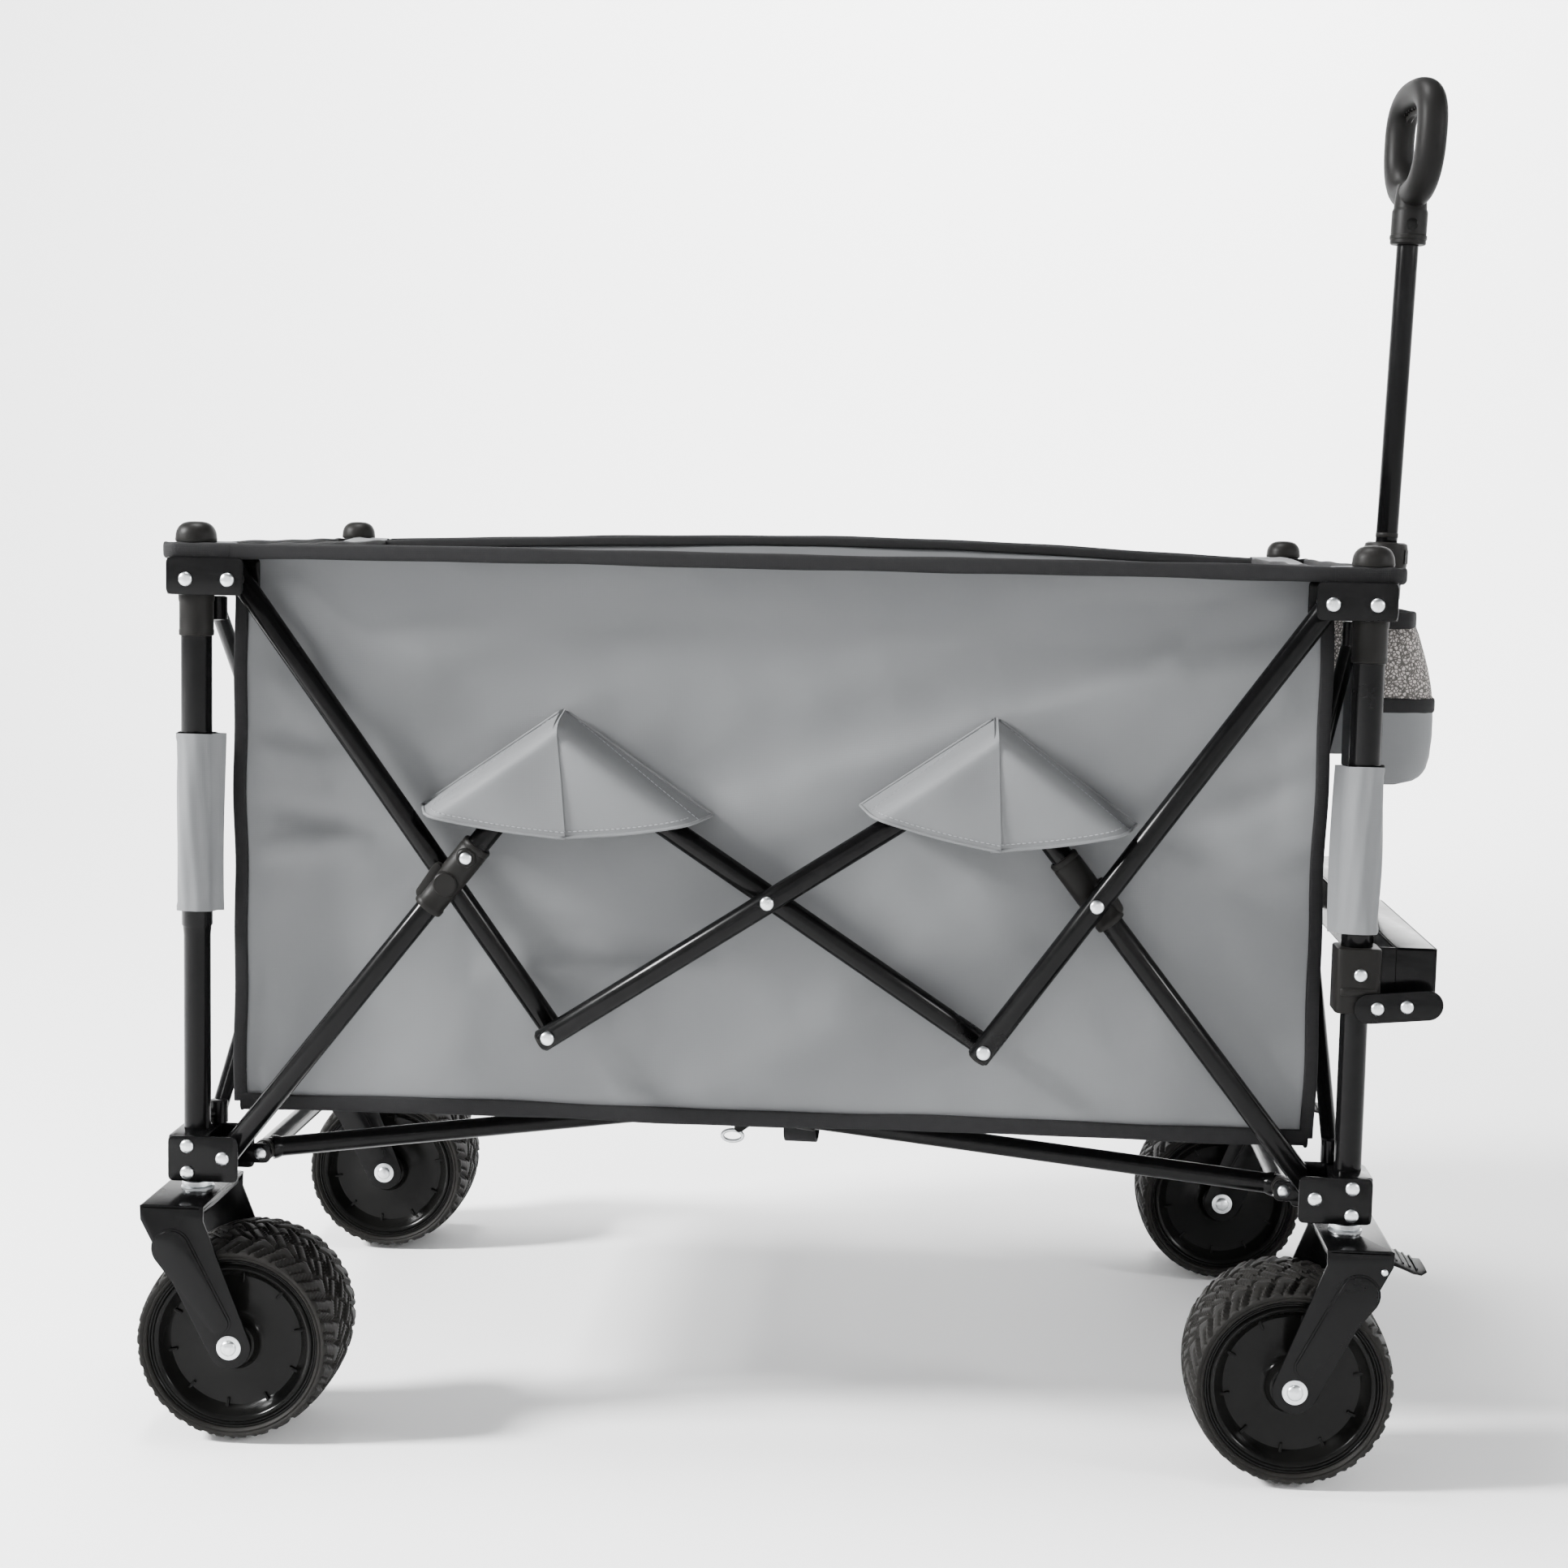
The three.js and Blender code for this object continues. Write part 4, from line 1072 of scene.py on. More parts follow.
def handle_crossbar():
    """Pressed channel across the front posts, with collars, side straps and the handle's hinge cheeks."""
    x, z0, z1, y = PX + 44, CROWN + 180, CROWN + 222, PY + 4
    shape = Shape()
    for s in (-1, 1):
        shape.block((PX - 17, s * (PY - 17), z0 - 8), (PX + 17, s * (PY + 17), z1), "nylon", 5, 1.6)
        shape.block((PX - 15, s * (PY - 18.2), z0 + 6), (PX + 15, s * (PY + 18.2), z0 + 12), "nylon", 5, 1.2)
        edge = sorted((s * (PY + 4), s * (PY + 1.5)))
        shape.plate(rounded(rect(PX + 10, x + 16, z0, z1), 3), *edge, "steel", 0.9)
        arm = strap_outline((PX + 8, z0 - 3), (x + 8, z0 + 1), 11.5, 11.5, 14)
        edge = sorted((s * (PY + 18.4), s * (PY + 21)))
        shape.plate(arm, *edge, "steel", 0.9)
        shape.turned(
            [(0, 0), (5, 0), (5, 15), (0, 15)], "steel",
            along((x - 8, s * (PY + 4), z0 - 0.5), (x - 8, s * (PY + 19), z0 - 0.5)), 20
        )
        for at in ((PX + 14, z0 - 2.5), (x - 8, z0 - 0.5)):
            shape.rivet((at[0], s * (PY + 21), at[1]), (0, s, 0), 5)
        shape.rivet((PX + 1, s * (PY + 17.1), z0 + 22), (0, s, 0), 5)
    # the channel: top, bottom and back plates with folded lips, cut away where the handle swings
    for low, high in ((-y, -15), (15, y)):
        shape.block((x - 16, low, z1 - 2.5), (x + 16, high, z1), "steel", 2, 0.9)
    shape.block((x - 16, -y, z0), (x + 16, y, z0 + 2.5), "steel", 2, 0.9)
    shape.block((x - 16, -y, z0), (x - 13.5, y, z1), "steel", 1, 0.8)
    for low, high in ((-y, -19), (19, y)):
        shape.block((x + 13.6, low, z1 - 7), (x + 16, high, z1), "steel", 0.9, 0.6)
        shape.block((x + 13.6, low, z0), (x + 16, high, z0 + 7), "steel", 0.9, 0.6)
    for s in (-1, 1):
        cheek = rounded(rect(x - 16, x + 16, z0, z1), 4)
        edge = sorted((s * 16, s * 19))
        shape.plate(cheek, *edge, "steel", 0.9)
        shape.rivet((x, s * 19, CROWN + 202), (0, s, 0), 5.4)
    shape.turned(
        [(3.4, 0), (4, 0.5), (4, 33.5), (3.4, 34)], "zinc",
        along((x, -17, CROWN + 202), (x, 17, CROWN + 202)), 24
    )
    settle(shape.make("handle_crossbar_pressed"), "handle_crossbar")


def pull_handle():
    """Telescopic handle: lower tube with a clamp collar, slim upper rod, and a closed rubber loop."""
    at = joint_mm("handle_pivot")
    lean = Matrix.Translation(at) @ Matrix.Rotation(HANDLE_LEAN, 4, "Y")
    lower = Shape()
    lower.turned([(9, 8), (11.4, 8), (12, 9), (12, 278), (11.5, 280), (10, 280)], "steel", lean, 40)
    lower.turned(
        [(9, -12.6), (11.4, -12.6), (12, -12), (12, 12), (11.4, 12.6), (9, 12.6)], "nylon",
        lean @ Matrix.Rotation(math.pi / 2, 4, "X"), 40
    )
    collar = [
        (12, 276), (13.2, 276.3), (14.6, 278.5), (14.6, 291), (15.4, 293), (17.4, 295.2), (18.4, 297.5),
        (18.4, 304), (17.9, 305), (18.4, 306), (18.4, 321), (17.6, 324.6), (15, 326), (10.4, 326)
    ]
    lower.turned(collar, "nylon", lean, 48)
    for k in range(6):
        turn = lean @ Matrix.Rotation(TAU * (k + 0.5) / 6, 4, "Z")
        grip = rounded(rect(18, 18.9, -3.6, 3.6), 0.4)
        lower.plate(grip, 308, 320, "nylon", 0.4, turn)
    button = [(5.4, 0), (5.4, 1.5), (4.8, 2.2), (0.5, 2.6)]
    lower.turned(button, "wheel", lean @ along((0, -17.5, 300.8), (0, -25, 300.8)), 28)
    settle(lower.make("handle_lower_tube_collared"), "handle_lower_tube")

    rod = Shape()
    slim = [(7.6, 280), (8.7, 280.4), (9.2, 281.4), (9.2, 574), (8.8, 581)]
    rod.turned(slim, "steel", lean, 44)
    rod.turned([(9.2, 330), (9.5, 330.4), (9.5, 333.6), (9.2, 334)], "nylon", lean, 44)
    settle(rod.make("handle_upper_rod"), "handle_rod")

    grip = Shape()
    half_w, low, high = 56 - 12.5, 618.0, 714 - 12.5
    yaw = lean @ Matrix.Rotation(GRIP_YAW, 4, "Z")
    middle = (low + high) / 2
    loop = []
    for k in range(72):
        t = TAU * k / 72
        c, s = math.cos(t), math.sin(t)
        wide = half_w * (0.9 + 0.1 * s)
        loop.append(
            (
                0, math.copysign(abs(c) ** 0.8, c) * wide, middle
                + math.copysign(abs(s) ** 0.8, s) * (high - low) / 2
            )
        )
    round_grip = [
        (
            12.4 * math.copysign(abs(math.cos(t)) ** 0.92, math.cos(t)),
            12.4 * math.copysign(abs(math.sin(t)) ** 0.92, math.sin(t))
        )
        for t in np.linspace(0, TAU, 32, endpoint=False)
    ]
    grip.swept(loop, round_grip, "grip", closed=True, up=(1, 0, 0), place=yaw)
    # inner hand pad, and the parting line round the loop
    pad = []
    for k in range(10, 27):
        p, q = Vector(loop[k]), Vector((0, 0, middle))
        pad.append(p + (q - p).normalized() * 10.6)
    grip.swept(
        pad, [(7.4, -2), (7.4, 1.6), (5.8, 2.9), (-5.8, 2.9), (-7.4, 1.6), (-7.4, -2)], "nylon", up=(1, 0, 0),
        place=yaw
    )
    for k in range(12, 25, 2):
        p, q = Vector(loop[k]), Vector((0, 0, middle))
        ahead = (Vector(loop[k + 1]) - Vector(loop[k - 1])).normalized()
        spot = p + (q - p).normalized() * 13.2
        grip.swept(
            [spot + Vector((-5, 0, 0)), spot, spot + Vector((5, 0, 0))], round_section(0.9, 8), "nylon",
            up=ahead, place=yaw
        )
    neck = [
        (9.4, 576), (14, 576), (15, 577), (15, 603), (14.4, 605), (13.8, 606), (13.8, 608), (13.4, 614),
        (12.4, 622), (11.5, 626), (9, 627)
    ]
    grip.turned(neck, "grip", lean, 44)
    grip.turned([(15, 580), (15.6, 580.5), (15.6, 583.5), (15, 584)], "nylon", lean, 44)
    grip.turned(
        [(5, 0), (5, 1.6), (4.2, 2.2), (0.4, 2.5)], "wheel", lean @ along((0, -14, 592), (0, -20, 592)), 28
    )
    settle(grip.make("handle_grip_loop"), "handle_grip")


# ---------------------------------------------------------------- fabric


# Creases of a side panel: from x, z to x, z, width and height, in mm; a positive height bulges outwards.
CREASES = [
    (-382, 662, -330, 613, 16, 4), (
        -401, 636, -359, 574, 14, -4
    ), (-343, 593, -203, 635, 29, 4), (-305, 562, -126, 644, 38, -4),
    (
        -49, 518, 219, 627, 38, -6
    ), (219, 627, 346, 666, 35, -6), (-37, 493, 231, 577, 32, 6), (231, 577, 385, 670, 29, 6),
    (2, 558, 187, 633, 45, 3), (283, 610, 385, 651, 19, -4), (238, 500, 385, 613, 26, 4), (
        -420, 553, -337, 546, 11, -3
    ),
    (
        -420, 496, -318, 479, 10, -3
    ), (-420, 457, -343, 463, 10, 3), (314, 496, 410, 530, 13, -3), (327, 464, 410, 473, 13, 3),
    (
        -203, 399, -75, 390, 13, -3
    ), (-196, 368, -81, 374, 10, 3), (65, 349, 180, 378, 19, 3), (-292, 391, -254, 277, 32, 4),
    (321, 419, 385, 294, 19, -4), (-152, 279, 2, 335, 38, -3), (27, 284, 142, 332, 32, 3),
]
PANEL_Z0, PANEL_Z1 = FLOOR_Z + 6, RIM_LOW + 1


def creased(x, z, creases, scale=1.0):
    """Height of the creases at one point."""
    out = 0.0
    for x0, z0, x1, z1, width, height in creases:
        dx, dz = x1 - x0, z1 - z0
        t = ((x - x0) * dx + (z - z0) * dz) / (dx * dx + dz * dz)
        along_it = min(1.35, max(-0.35, t))
        d = math.hypot(x - x0 - dx * along_it, z - z0 - dz * along_it) / width
        fade = max(0.0, 1 - abs(t - 0.5) / 0.85) ** 0.7
        out += height * math.exp(-d * d) * fade
    return out * scale


def rippled(a, b, seed):
    """Small even unevenness of hung cloth, about a millimetre."""
    s = math.sin
    return 0.8 * s(a / 37 + seed) * s(b / 29 + 1.7 * seed) + 0.5 * s(
        (a + b) / 17 + 2.1 * seed
    ) * s((a - b) / 23 + seed) + 0.25 * s(a / 9.5 + 3 * seed) * s(b / 11 - seed)


def made_creases(seed, half, low, high, many):
    """Creases for a panel, mostly running out from its corners."""
    chance = np.random.default_rng(seed)
    out = []
    for _ in range(many):
        corner_x, corner_z = chance.choice((-half, half)), chance.choice((low, high))
        reach, lean = chance.uniform(60, 230), chance.uniform(0.25, 1.2)
        x0 = corner_x * chance.uniform(0.55, 0.97)
        z0 = corner_z + (1 if corner_z == low else -1) * chance.uniform(8, 90)
        x1 = x0 - math.copysign(reach * math.cos(lean), corner_x)
        z1 = z0 + (1 if corner_z == low else -1) * reach * math.sin(lean)
        out.append((x0, z0, x1, z1, chance.uniform(12, 34), chance.choice((-1, 1)) * chance.uniform(2, 5)))
    return out


def soft_edge(u, width=0.05):
    """0 at both ends of a share from 0 to 1, and 1 between."""
    return min(1.0, u / width, (1 - u) / width) if 0 < u < 1 else 0.0


def limited(height, inward, outward):
    """Eases a height off as it nears the room there is to either side of the cloth."""
    room = outward if height > 0 else inward
    return room * math.tanh(height / room)


def fold_with_basket(piece):
    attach(piece, BODY_OF["basket"])
    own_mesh(piece)
    return piece


def on_end(piece, end):
    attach(piece, f"{end}_frame")
    return piece


def side_panels():
    """Long side panels: one woven sheet each, creased from the corners."""
    scale = bpy.context.scene.wagon_sizes.crease_depth / (6 * MM)
    wide, tall = 212, 112
    for side, sy in (("near", -1), ("far", 1)):
        creases = CREASES if side == "near" else made_creases(7, WALL_X, PANEL_Z0, PANEL_Z1, 22)
        rows, flat = [], []
        for k in range(tall + 1):
            v = k / tall
            row = []
            for i in range(wide + 1):
                u = i / wide
                x, z = -WALL_X + 2 * WALL_X * u, PANEL_Z0 + (PANEL_Z1 - PANEL_Z0) * v
                hold = min(soft_edge(u, 0.035), soft_edge(v, 0.05))
                off = creased(x, z, creases, scale) + 1.2 * rippled(x, z, 1.3 if sy < 0 else 2.2)
                near_edge = 1 - soft_edge(u, 0.09)
                off += near_edge * 1.6 * math.sin(z / 13 + 2.5 * math.sin(z / 47))
                off = limited(off - 1.0, 8.5, 4.6) * hold
                belly = 3.0 * math.sin(math.pi * u) * math.sin(math.pi * v)
                z += (rim_height(u, side) - RIM_LOW - 3.4) * v**9
                row.append((x, sy * (WALL_Y - 1.6 + off - belly), z))
                flat.append((x * MM, z * MM))
            rows.append(row)
        panel = Shape().grid(rows, "cloth", flat=flat).make(f"side_panel_{side}", 180)
        fold_with_basket(panel)
        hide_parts("basket")


def floor_margins():
    """Narrow cloth margin along the bottom of each side panel, under the edge of the floor pads."""
    for side, sy in (("near", -1), ("far", 1)):
        rows, flat = [], []
        for k in range(9):
            v = k / 8
            row = []
            for i in range(121):
                x = -WALL_X + 2 * WALL_X * i / 120
                y = WALL_Y - 1.2 - 17 * v
                row.append((x, sy * y, FLOOR_Z + 5 - 4.2 * min(1.0, 3 * v) + 0.15 * rippled(x, 40 * v, sy)))
                flat.append((x * MM, y * MM))
            rows.append(row)
        margin = Shape().grid(rows, "cloth", flat=flat).make(f"floor_margin_{side}", 180)
        fold_with_basket(margin)


def end_panels():
    """Short end panels of the basket, one woven sheet each."""
    wide, tall = 120, 100
    for end, sx in (("rear", -1), ("front", 1)):
        creases = made_creases(11 if sx < 0 else 19, WALL_Y, PANEL_Z0, PANEL_Z1, 14)
        rows, flat = [], []
        for k in range(tall + 1):
            v = k / tall
            row = []
            for i in range(wide + 1):
                u = i / wide
                y, z = -WALL_Y + 2 * WALL_Y * u, PANEL_Z0 + (PANEL_Z1 - PANEL_Z0) * v
                hold = min(soft_edge(u, 0.05), soft_edge(v, 0.05))
                off = creased(y, z, creases, 0.8) + 1.1 * rippled(y, z, 0.7 + sx)
                belly = 3.0 * math.sin(math.pi * u) * math.sin(math.pi * v)
                off = limited(1.6 * off, 9.0, 3.5) * hold - belly
                row.append((sx * (WALL_X - 1.5 + off), y, z))
                flat.append((y * MM, z * MM))
            rows.append(row)
        panel = Shape().grid(rows, "cloth", flat=flat).make(f"end_panel_{end}", 180)
        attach(panel, f"{end}_frame")
        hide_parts("basket")


def floor_pads():
    """Floor of the basket in two padded halves, each stitched across."""
    wide, long = 64, 84
    for end, sx in (("rear", -1), ("front", 1)):
        skins = []
        for up in (1, -1):
            rows = []
            for k in range(long + 1):
                u = k / long
                x = sx * ((WALL_X - 7) * u + 1.2 * (1 - u))
                row = []
                for i in range(wide + 1):
                    v = i / wide
                    y = (WALL_Y - 12) * (2 * v - 1)
                    seam = min(abs(abs(x) - d) for d in PAD_SEAMS)
                    puff = 3.2 * (1 - math.exp(-((seam / 9) ** 2))) * (
                        1 - math.exp(-((min(v, 1 - v) * wide / 2.2) ** 2))
                    )
                    z = FLOOR_Z + 3.6 + up * (
                        0.7 + (puff if up > 0 else puff * 0.35)
                    ) + 0.35 * rippled(x, y, 0.9 + sx)
                    row.append((x, y, z))
                rows.append(row)
            skins.append(rows)
        loop = [a + b[::-1] for a, b in zip(*skins)]
        flat = [(p[0] * MM, p[1] * MM) for row in loop for p in row]
        pad = Shape().grid(loop, "cloth", close_u=True, caps=True, flat=flat)
        pad.swept(
            [(sx * PAD_SEAMS[1], y, FLOOR_Z + 4.5) for y in np.linspace(-WALL_Y + 16, WALL_Y - 16, 24)],
            [(-0.6, -0.3), (0.6, -0.3), (0.6, 0.35), (-0.6, 0.35)], "thread"
        )
        made = pad.make(f"floor_pad_{end}", 60)
        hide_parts("basket")
        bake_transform(made)


def tape(path, wide, thick, name="binding", wobble=0.0, seed=0.0, up=(0, 0, 1), closed=False):
    """Binding tape folded over an edge: a flat rounded section along a path, with a slight wobble."""
    shape = Shape()

    def section(share):
        w = wide / 2 * (1 + wobble * math.sin(37 * share + seed) * math.sin(11 * share + 2 * seed))
        return [
            (
                thick / 2 * math.copysign(abs(math.cos(t)) ** 0.7, math.cos(t)),
                w * math.copysign(abs(math.sin(t)) ** 0.5, math.sin(t))
            )
            for t in np.linspace(0, TAU, 20, endpoint=False)
        ]

    shape.swept(path, section, name, up=up, closed=closed)
    return shape


def basket_edges():
    """Bound edges of the basket, down the corners and along the bottom."""
    for end, sx in (("rear", -1), ("front", 1)):
        for side, sy in (("near", -1), ("far", 1)):
            x, y = sx * (WALL_X + 1.5), sy * (WALL_Y + 0.2)
            seed = sx + 2 * sy
            path = [
                (
                    x + 1.1 * math.sin(k * 0.31 + seed) * math.sin(k * 0.12 + 1), y
                    - sy * 0.5 * abs(math.sin(k * 0.27 + seed)), PANEL_Z0 + (PANEL_Z1 - PANEL_Z0) * k / 60
                )
                for k in range(61)
            ]
            edge = tape(path, 4.4, 10.5, wobble=0.05, seed=seed, up=(0, 1, 0))
            made = edge.make(f"corner_binding_{end}_{side}", 60)
            on_end(made, end)
        y = np.linspace(-WALL_Y, WALL_Y, 40)
        path = [(sx * (WALL_X + 0.5), v, FLOOR_Z + 5 + 0.6 * math.sin(v / 31)) for v in y]
        made = tape(path, 12, 4, wobble=0.08, seed=sx, up=(0, 0, 1)).make(f"bottom_binding_{end}", 60)
        on_end(made, end)
    for side, sy in (("near", -1), ("far", 1)):
        x = np.linspace(-WALL_X, WALL_X, 120)
        path = [
            (v, sy * (WALL_Y + 0.4 + 0.5 * math.sin(v / 23)), FLOOR_Z + 6.5 + 0.7 * math.sin(v / 61 + sy))
            for v in x
        ]
        made = tape(path, 13, 4.2, wobble=0.08, seed=sy).make(f"bottom_binding_{side}", 60)
        fold_with_basket(made)


def rim_height(u, side):
    """Height of the rim along a side: it lies on the brackets at the ends and lifts a little between."""
    lift = 12.0 if side == "far" else 1.5
    return RIM_LOW + 3.4 + lift * math.sin(math.pi * u) + 0.5 * math.sin(9 * u + (2 if side == "far" else 0))


def basket_rim():
    """Rim folded out over the scissor bars: a cloth flange with bound edges, in pieces that meet at the posts."""
    width = bpy.context.scene.wagon_sizes.binding_width / MM
    for side, sy in (("near", -1), ("far", 1)):
        rows, flat, outer, inner = [], [], [], []
        for i in range(101):
            u = i / 100
            x = -WALL_X + 2 * WALL_X * u
            z = rim_height(u, side)
            bow = 3.5 * math.sin(math.pi * u)
            row = []
            for k in range(9):
                v = k / 8
                y = WALL_Y - 2 + (RIM_Y - 4 - bow - WALL_Y + 2) * v
                row.append(
                    (x, sy * y, z - 1.2 + 2.6 * math.sin(math.pi * v) + 0.7 * rippled(x, 60 * v, 1.1 + sy))
                )
                flat.append((x * MM, y * MM))
            rows.append(row)
            outer.append((x, sy * (RIM_Y - 3.2 - bow), z))
            inner.append((x, sy * (WALL_Y - 2.2 + 0.8 * math.sin(17 * u)), z + 0.5))
        flange = Shape().grid(rows, "cloth", flat=flat).make(f"rim_flange_{side}", 180)
        fold_with_basket(flange)
        edge = tape(outer, width, 4.6, wobble=0.07, seed=sy)
        made = edge.make(f"rim_binding_{side}", 60)
        fold_with_basket(made)
        made = tape(inner, 9, 3.6, wobble=0.07, seed=2 * sy).make(f"inner_binding_{side}", 60)
        fold_with_basket(made)
    for end, sx in (("rear", -1), ("front", 1)):
        rows, flat = [], []
        r = 13.0
        # tab over both posts and the end wall: a cloth strip with rounded outer corners
        outline = []
        for k in range(13):
            t = math.pi / 2 * k / 12
            outline.append((RIM_X + 5 - r + r * math.sin(t), -(RIM_Y - 2 - r) - r * math.cos(t)))
        corner = [(WALL_X, -(RIM_Y - 3))] + outline
        across = [k / 40 for k in range(1, 40)]
        between = [
            (RIM_X + 5 - 9.0 * math.sin(math.pi * k) ** 0.5, (2 * k - 1) * (RIM_Y - 2 - r)) for k in across
        ]
        edge = corner + between + [(x, -y) for x, y in reversed(corner)]
        for x, y in edge:
            back = (min(x, WALL_X - 1.0), max(-WALL_Y + 2, min(WALL_Y - 2, y)))
            row = []
            for k in range(9):
                v = k / 8
                px, py = x + (back[0] - x) * v, y + (back[1] - y) * v
                swell = 2.4 + 5.5 * min(1.0, abs(py) / WALL_Y) ** 6
                row.append(
                    (
                        sx * px, py, RIM_LOW + 2.4 + swell * math.sin(math.pi * v)
                        + 0.8 * rippled(px * 2, py * 2, 0.4 + sx)
                    )
                )
                flat.append((px * MM, py * MM))
            rows.append(row)
        tab = Shape().grid(rows, "cloth", flat=flat).make(f"rim_tab_{end}", 180)
        on_end(tab, end)
        path = [(sx * x, y, RIM_LOW + 3.4 + 0.5 * math.sin(i * 0.7)) for i, (x, y) in enumerate(edge)]
        made = tape(path, width, 4.6, wobble=0.05, seed=sx).make(f"rim_binding_{end}", 60)
        on_end(made, end)
        y = np.linspace(-WALL_Y + 2, WALL_Y - 2, 50)
        path = [
            (sx * (WALL_X - 1.6 + 0.8 * math.sin(v / 19)), v, RIM_LOW + 4 + 0.6 * math.sin(v / 27)) for v in y
        ]
        made = tape(path, 9, 3.6, wobble=0.07, seed=sx).make(f"inner_binding_{end}", 60)
        on_end(made, end)


def sum_area(rows):
    """Area of a skin over rows of points, in square metres.
    """
    total = 0.0
    for a, b in zip(rows, rows[1:]):
        for p, q, r, s in zip(a, a[1:], b[1:], b):
            p, q, r, s = Vector(p), Vector(q), Vector(r), Vector(s)
            total += ((q - p).cross(r - p).length + (r - p).cross(s - p).length) / 2
    return total * MM * MM


def knee_flaps():
    """Cloth tents over the high knees, in two halves that lap on a centre seam and follow one bar each."""
    out_y = PY + 15.5 + 9 + 3
    for side, rear, front, turn in (("near", "rear", "front", 0), ("far", "front", "rear", math.pi)):
        spin = Matrix.Rotation(turn, 4, "Z")
        tents = [
            ((-165, 576), (-276, 498), (-47, 496), (-161, 481), (f"{rear}_low", f"{rear}_middle_down")),
            ((171, 578), (68, 507), (282, 498), (171, 480), (f"{rear}_middle_up", f"{front}_low")),
        ]
        for which, (apex, left, right, low, bodies) in enumerate(tents):
            for half, tip, lap in ((0, left, 5.0), (1, right, 3.4)):
                apex_v, tip_v, low_v = Vector(apex), Vector(tip), Vector(low)
                past = Vector((low_v.x + (6 if half == 0 else -2), low_v.y))
                rows, flat = [], []
                steps = 44
                for i in range(steps + 1):
                    s = i / steps  # from the apex down towards the bottom edge
                    row = []
                    for k in range(25):
                        t = k / 24  # from the sewn edge to the centre seam
                        sewn = apex_v.lerp(tip_v, s)
                        mid_x = past.x + (apex_v.x - past.x) * (1 - s) + (
                            1.5 * (1 if half == 0 else -1) * (1 - s)
                        )
                        centre = Vector((mid_x, apex_v.y + (past.y - apex_v.y) * s))
                        p = sewn.lerp(centre, t)
                        d = abs((p - apex_v).cross((tip_v - apex_v).normalized()))
                        rise = 1 - math.exp(-((d / 5.5) ** 1.5))
                        lift = (out_y + lap - WALL_Y - 0.8) * rise
                        soft = 1.3 * math.sin(
                            p.x / 14 + p.y / 23 + which
                        ) * rise * (1 - 0.5 * s) + 1.8 * rise * math.sin(2.6 * s + 3 * t)
                        z = p.y + (4.0 * math.sin(math.pi * t) * -s * 0.6)
                        row.append((p.x, -(WALL_Y + 0.8 + lift + soft), z))
                        flat.append((p.x * MM, p.y * MM))
                    rows.append(row)
                shape = Shape().grid(rows, "cloth", flat=flat)
                sewn_edge = [Vector(r[0]) + Vector((0, -1.2, 0)) for r in rows]
                bottom = [Vector(p) for p in rows[-1]]
                ring = round_section(1.3, 8)
                shape.swept(bottom, ring, "cloth", up=(0, 1, 0.2))
                shape.swept(sewn_edge[1:], ring, "cloth", up=(0, 1, 0.2))
                shape.stitches(
                    [Vector(r[1]).lerp(Vector(r[2]), 0.5) + Vector((0, -0.3, 0)) for r in rows[3:]]
                )
                shape.stitches([Vector(p) + Vector((0, -0.3, 0)) for p in rows[-3][2:]])
                made = shape.make(f"knee_flap_{side}_{which}_{'ab'[half]}", 180, spin=spin)
                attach(made, f"bar_{side}_{bodies[half]}")


def post_sleeves():
    """Cloth sleeves closed round the corner posts, with hemmed ends and a tail towards the basket."""
    for end, side, sx, sy in CORNERS:
        z0, z1 = (CROWN + 223, CROWN + 362) if end == "rear" else (CROWN + 232.5, CROWN + 360)
        shape = Shape()
        angles = np.linspace(math.radians(152), math.radians(-152), 44)
        rows, flat = [], []
        seed = sx * 1.3 + sy
        for k in range(41):
            v = k / 40
            z = z0 + (z1 - z0) * v
            hem = 0.7 if v < 0.05 or v > 0.95 else 0.0
            belly = 0.7 * math.sin(math.pi * v)
            ring = []
            for t in angles:
                r = POST_R + 2.6 + belly + hem + 0.5 * math.sin(4 * t + 5 * v + seed)
                r += 0.35 * math.sin(9 * t - 7 * v)
                ring.append((math.cos(t) * r, math.sin(t) * r))
            # the tail: two layers sewn flat, reaching towards the basket
            tail = [(-22.5 - 1.5 * math.sin(3 * v + seed), 0.9), (-17, 1.6)]
            line = [tail[0], tail[1]] + ring + [(-17, -1.6), (-22.5 - 1.5 * math.sin(3 * v + seed), -0.9)]
            row = [(sx * (PX + p[0]), sy * PY + p[1], z + 0.4 * math.sin(p[1] / 4)) for p in line]
            rows.append(row)
            run = 0.0
            for i, p in enumerate(line):
                run += math.dist(p, line[i - 1]) if i else 0
                flat.append((run * MM, z * MM))
        shape.grid(rows, "cloth", close_u=True, flat=flat)
        made = shape.make(f"post_sleeve_{end}_{side}", 180)
        on_end(made, end)


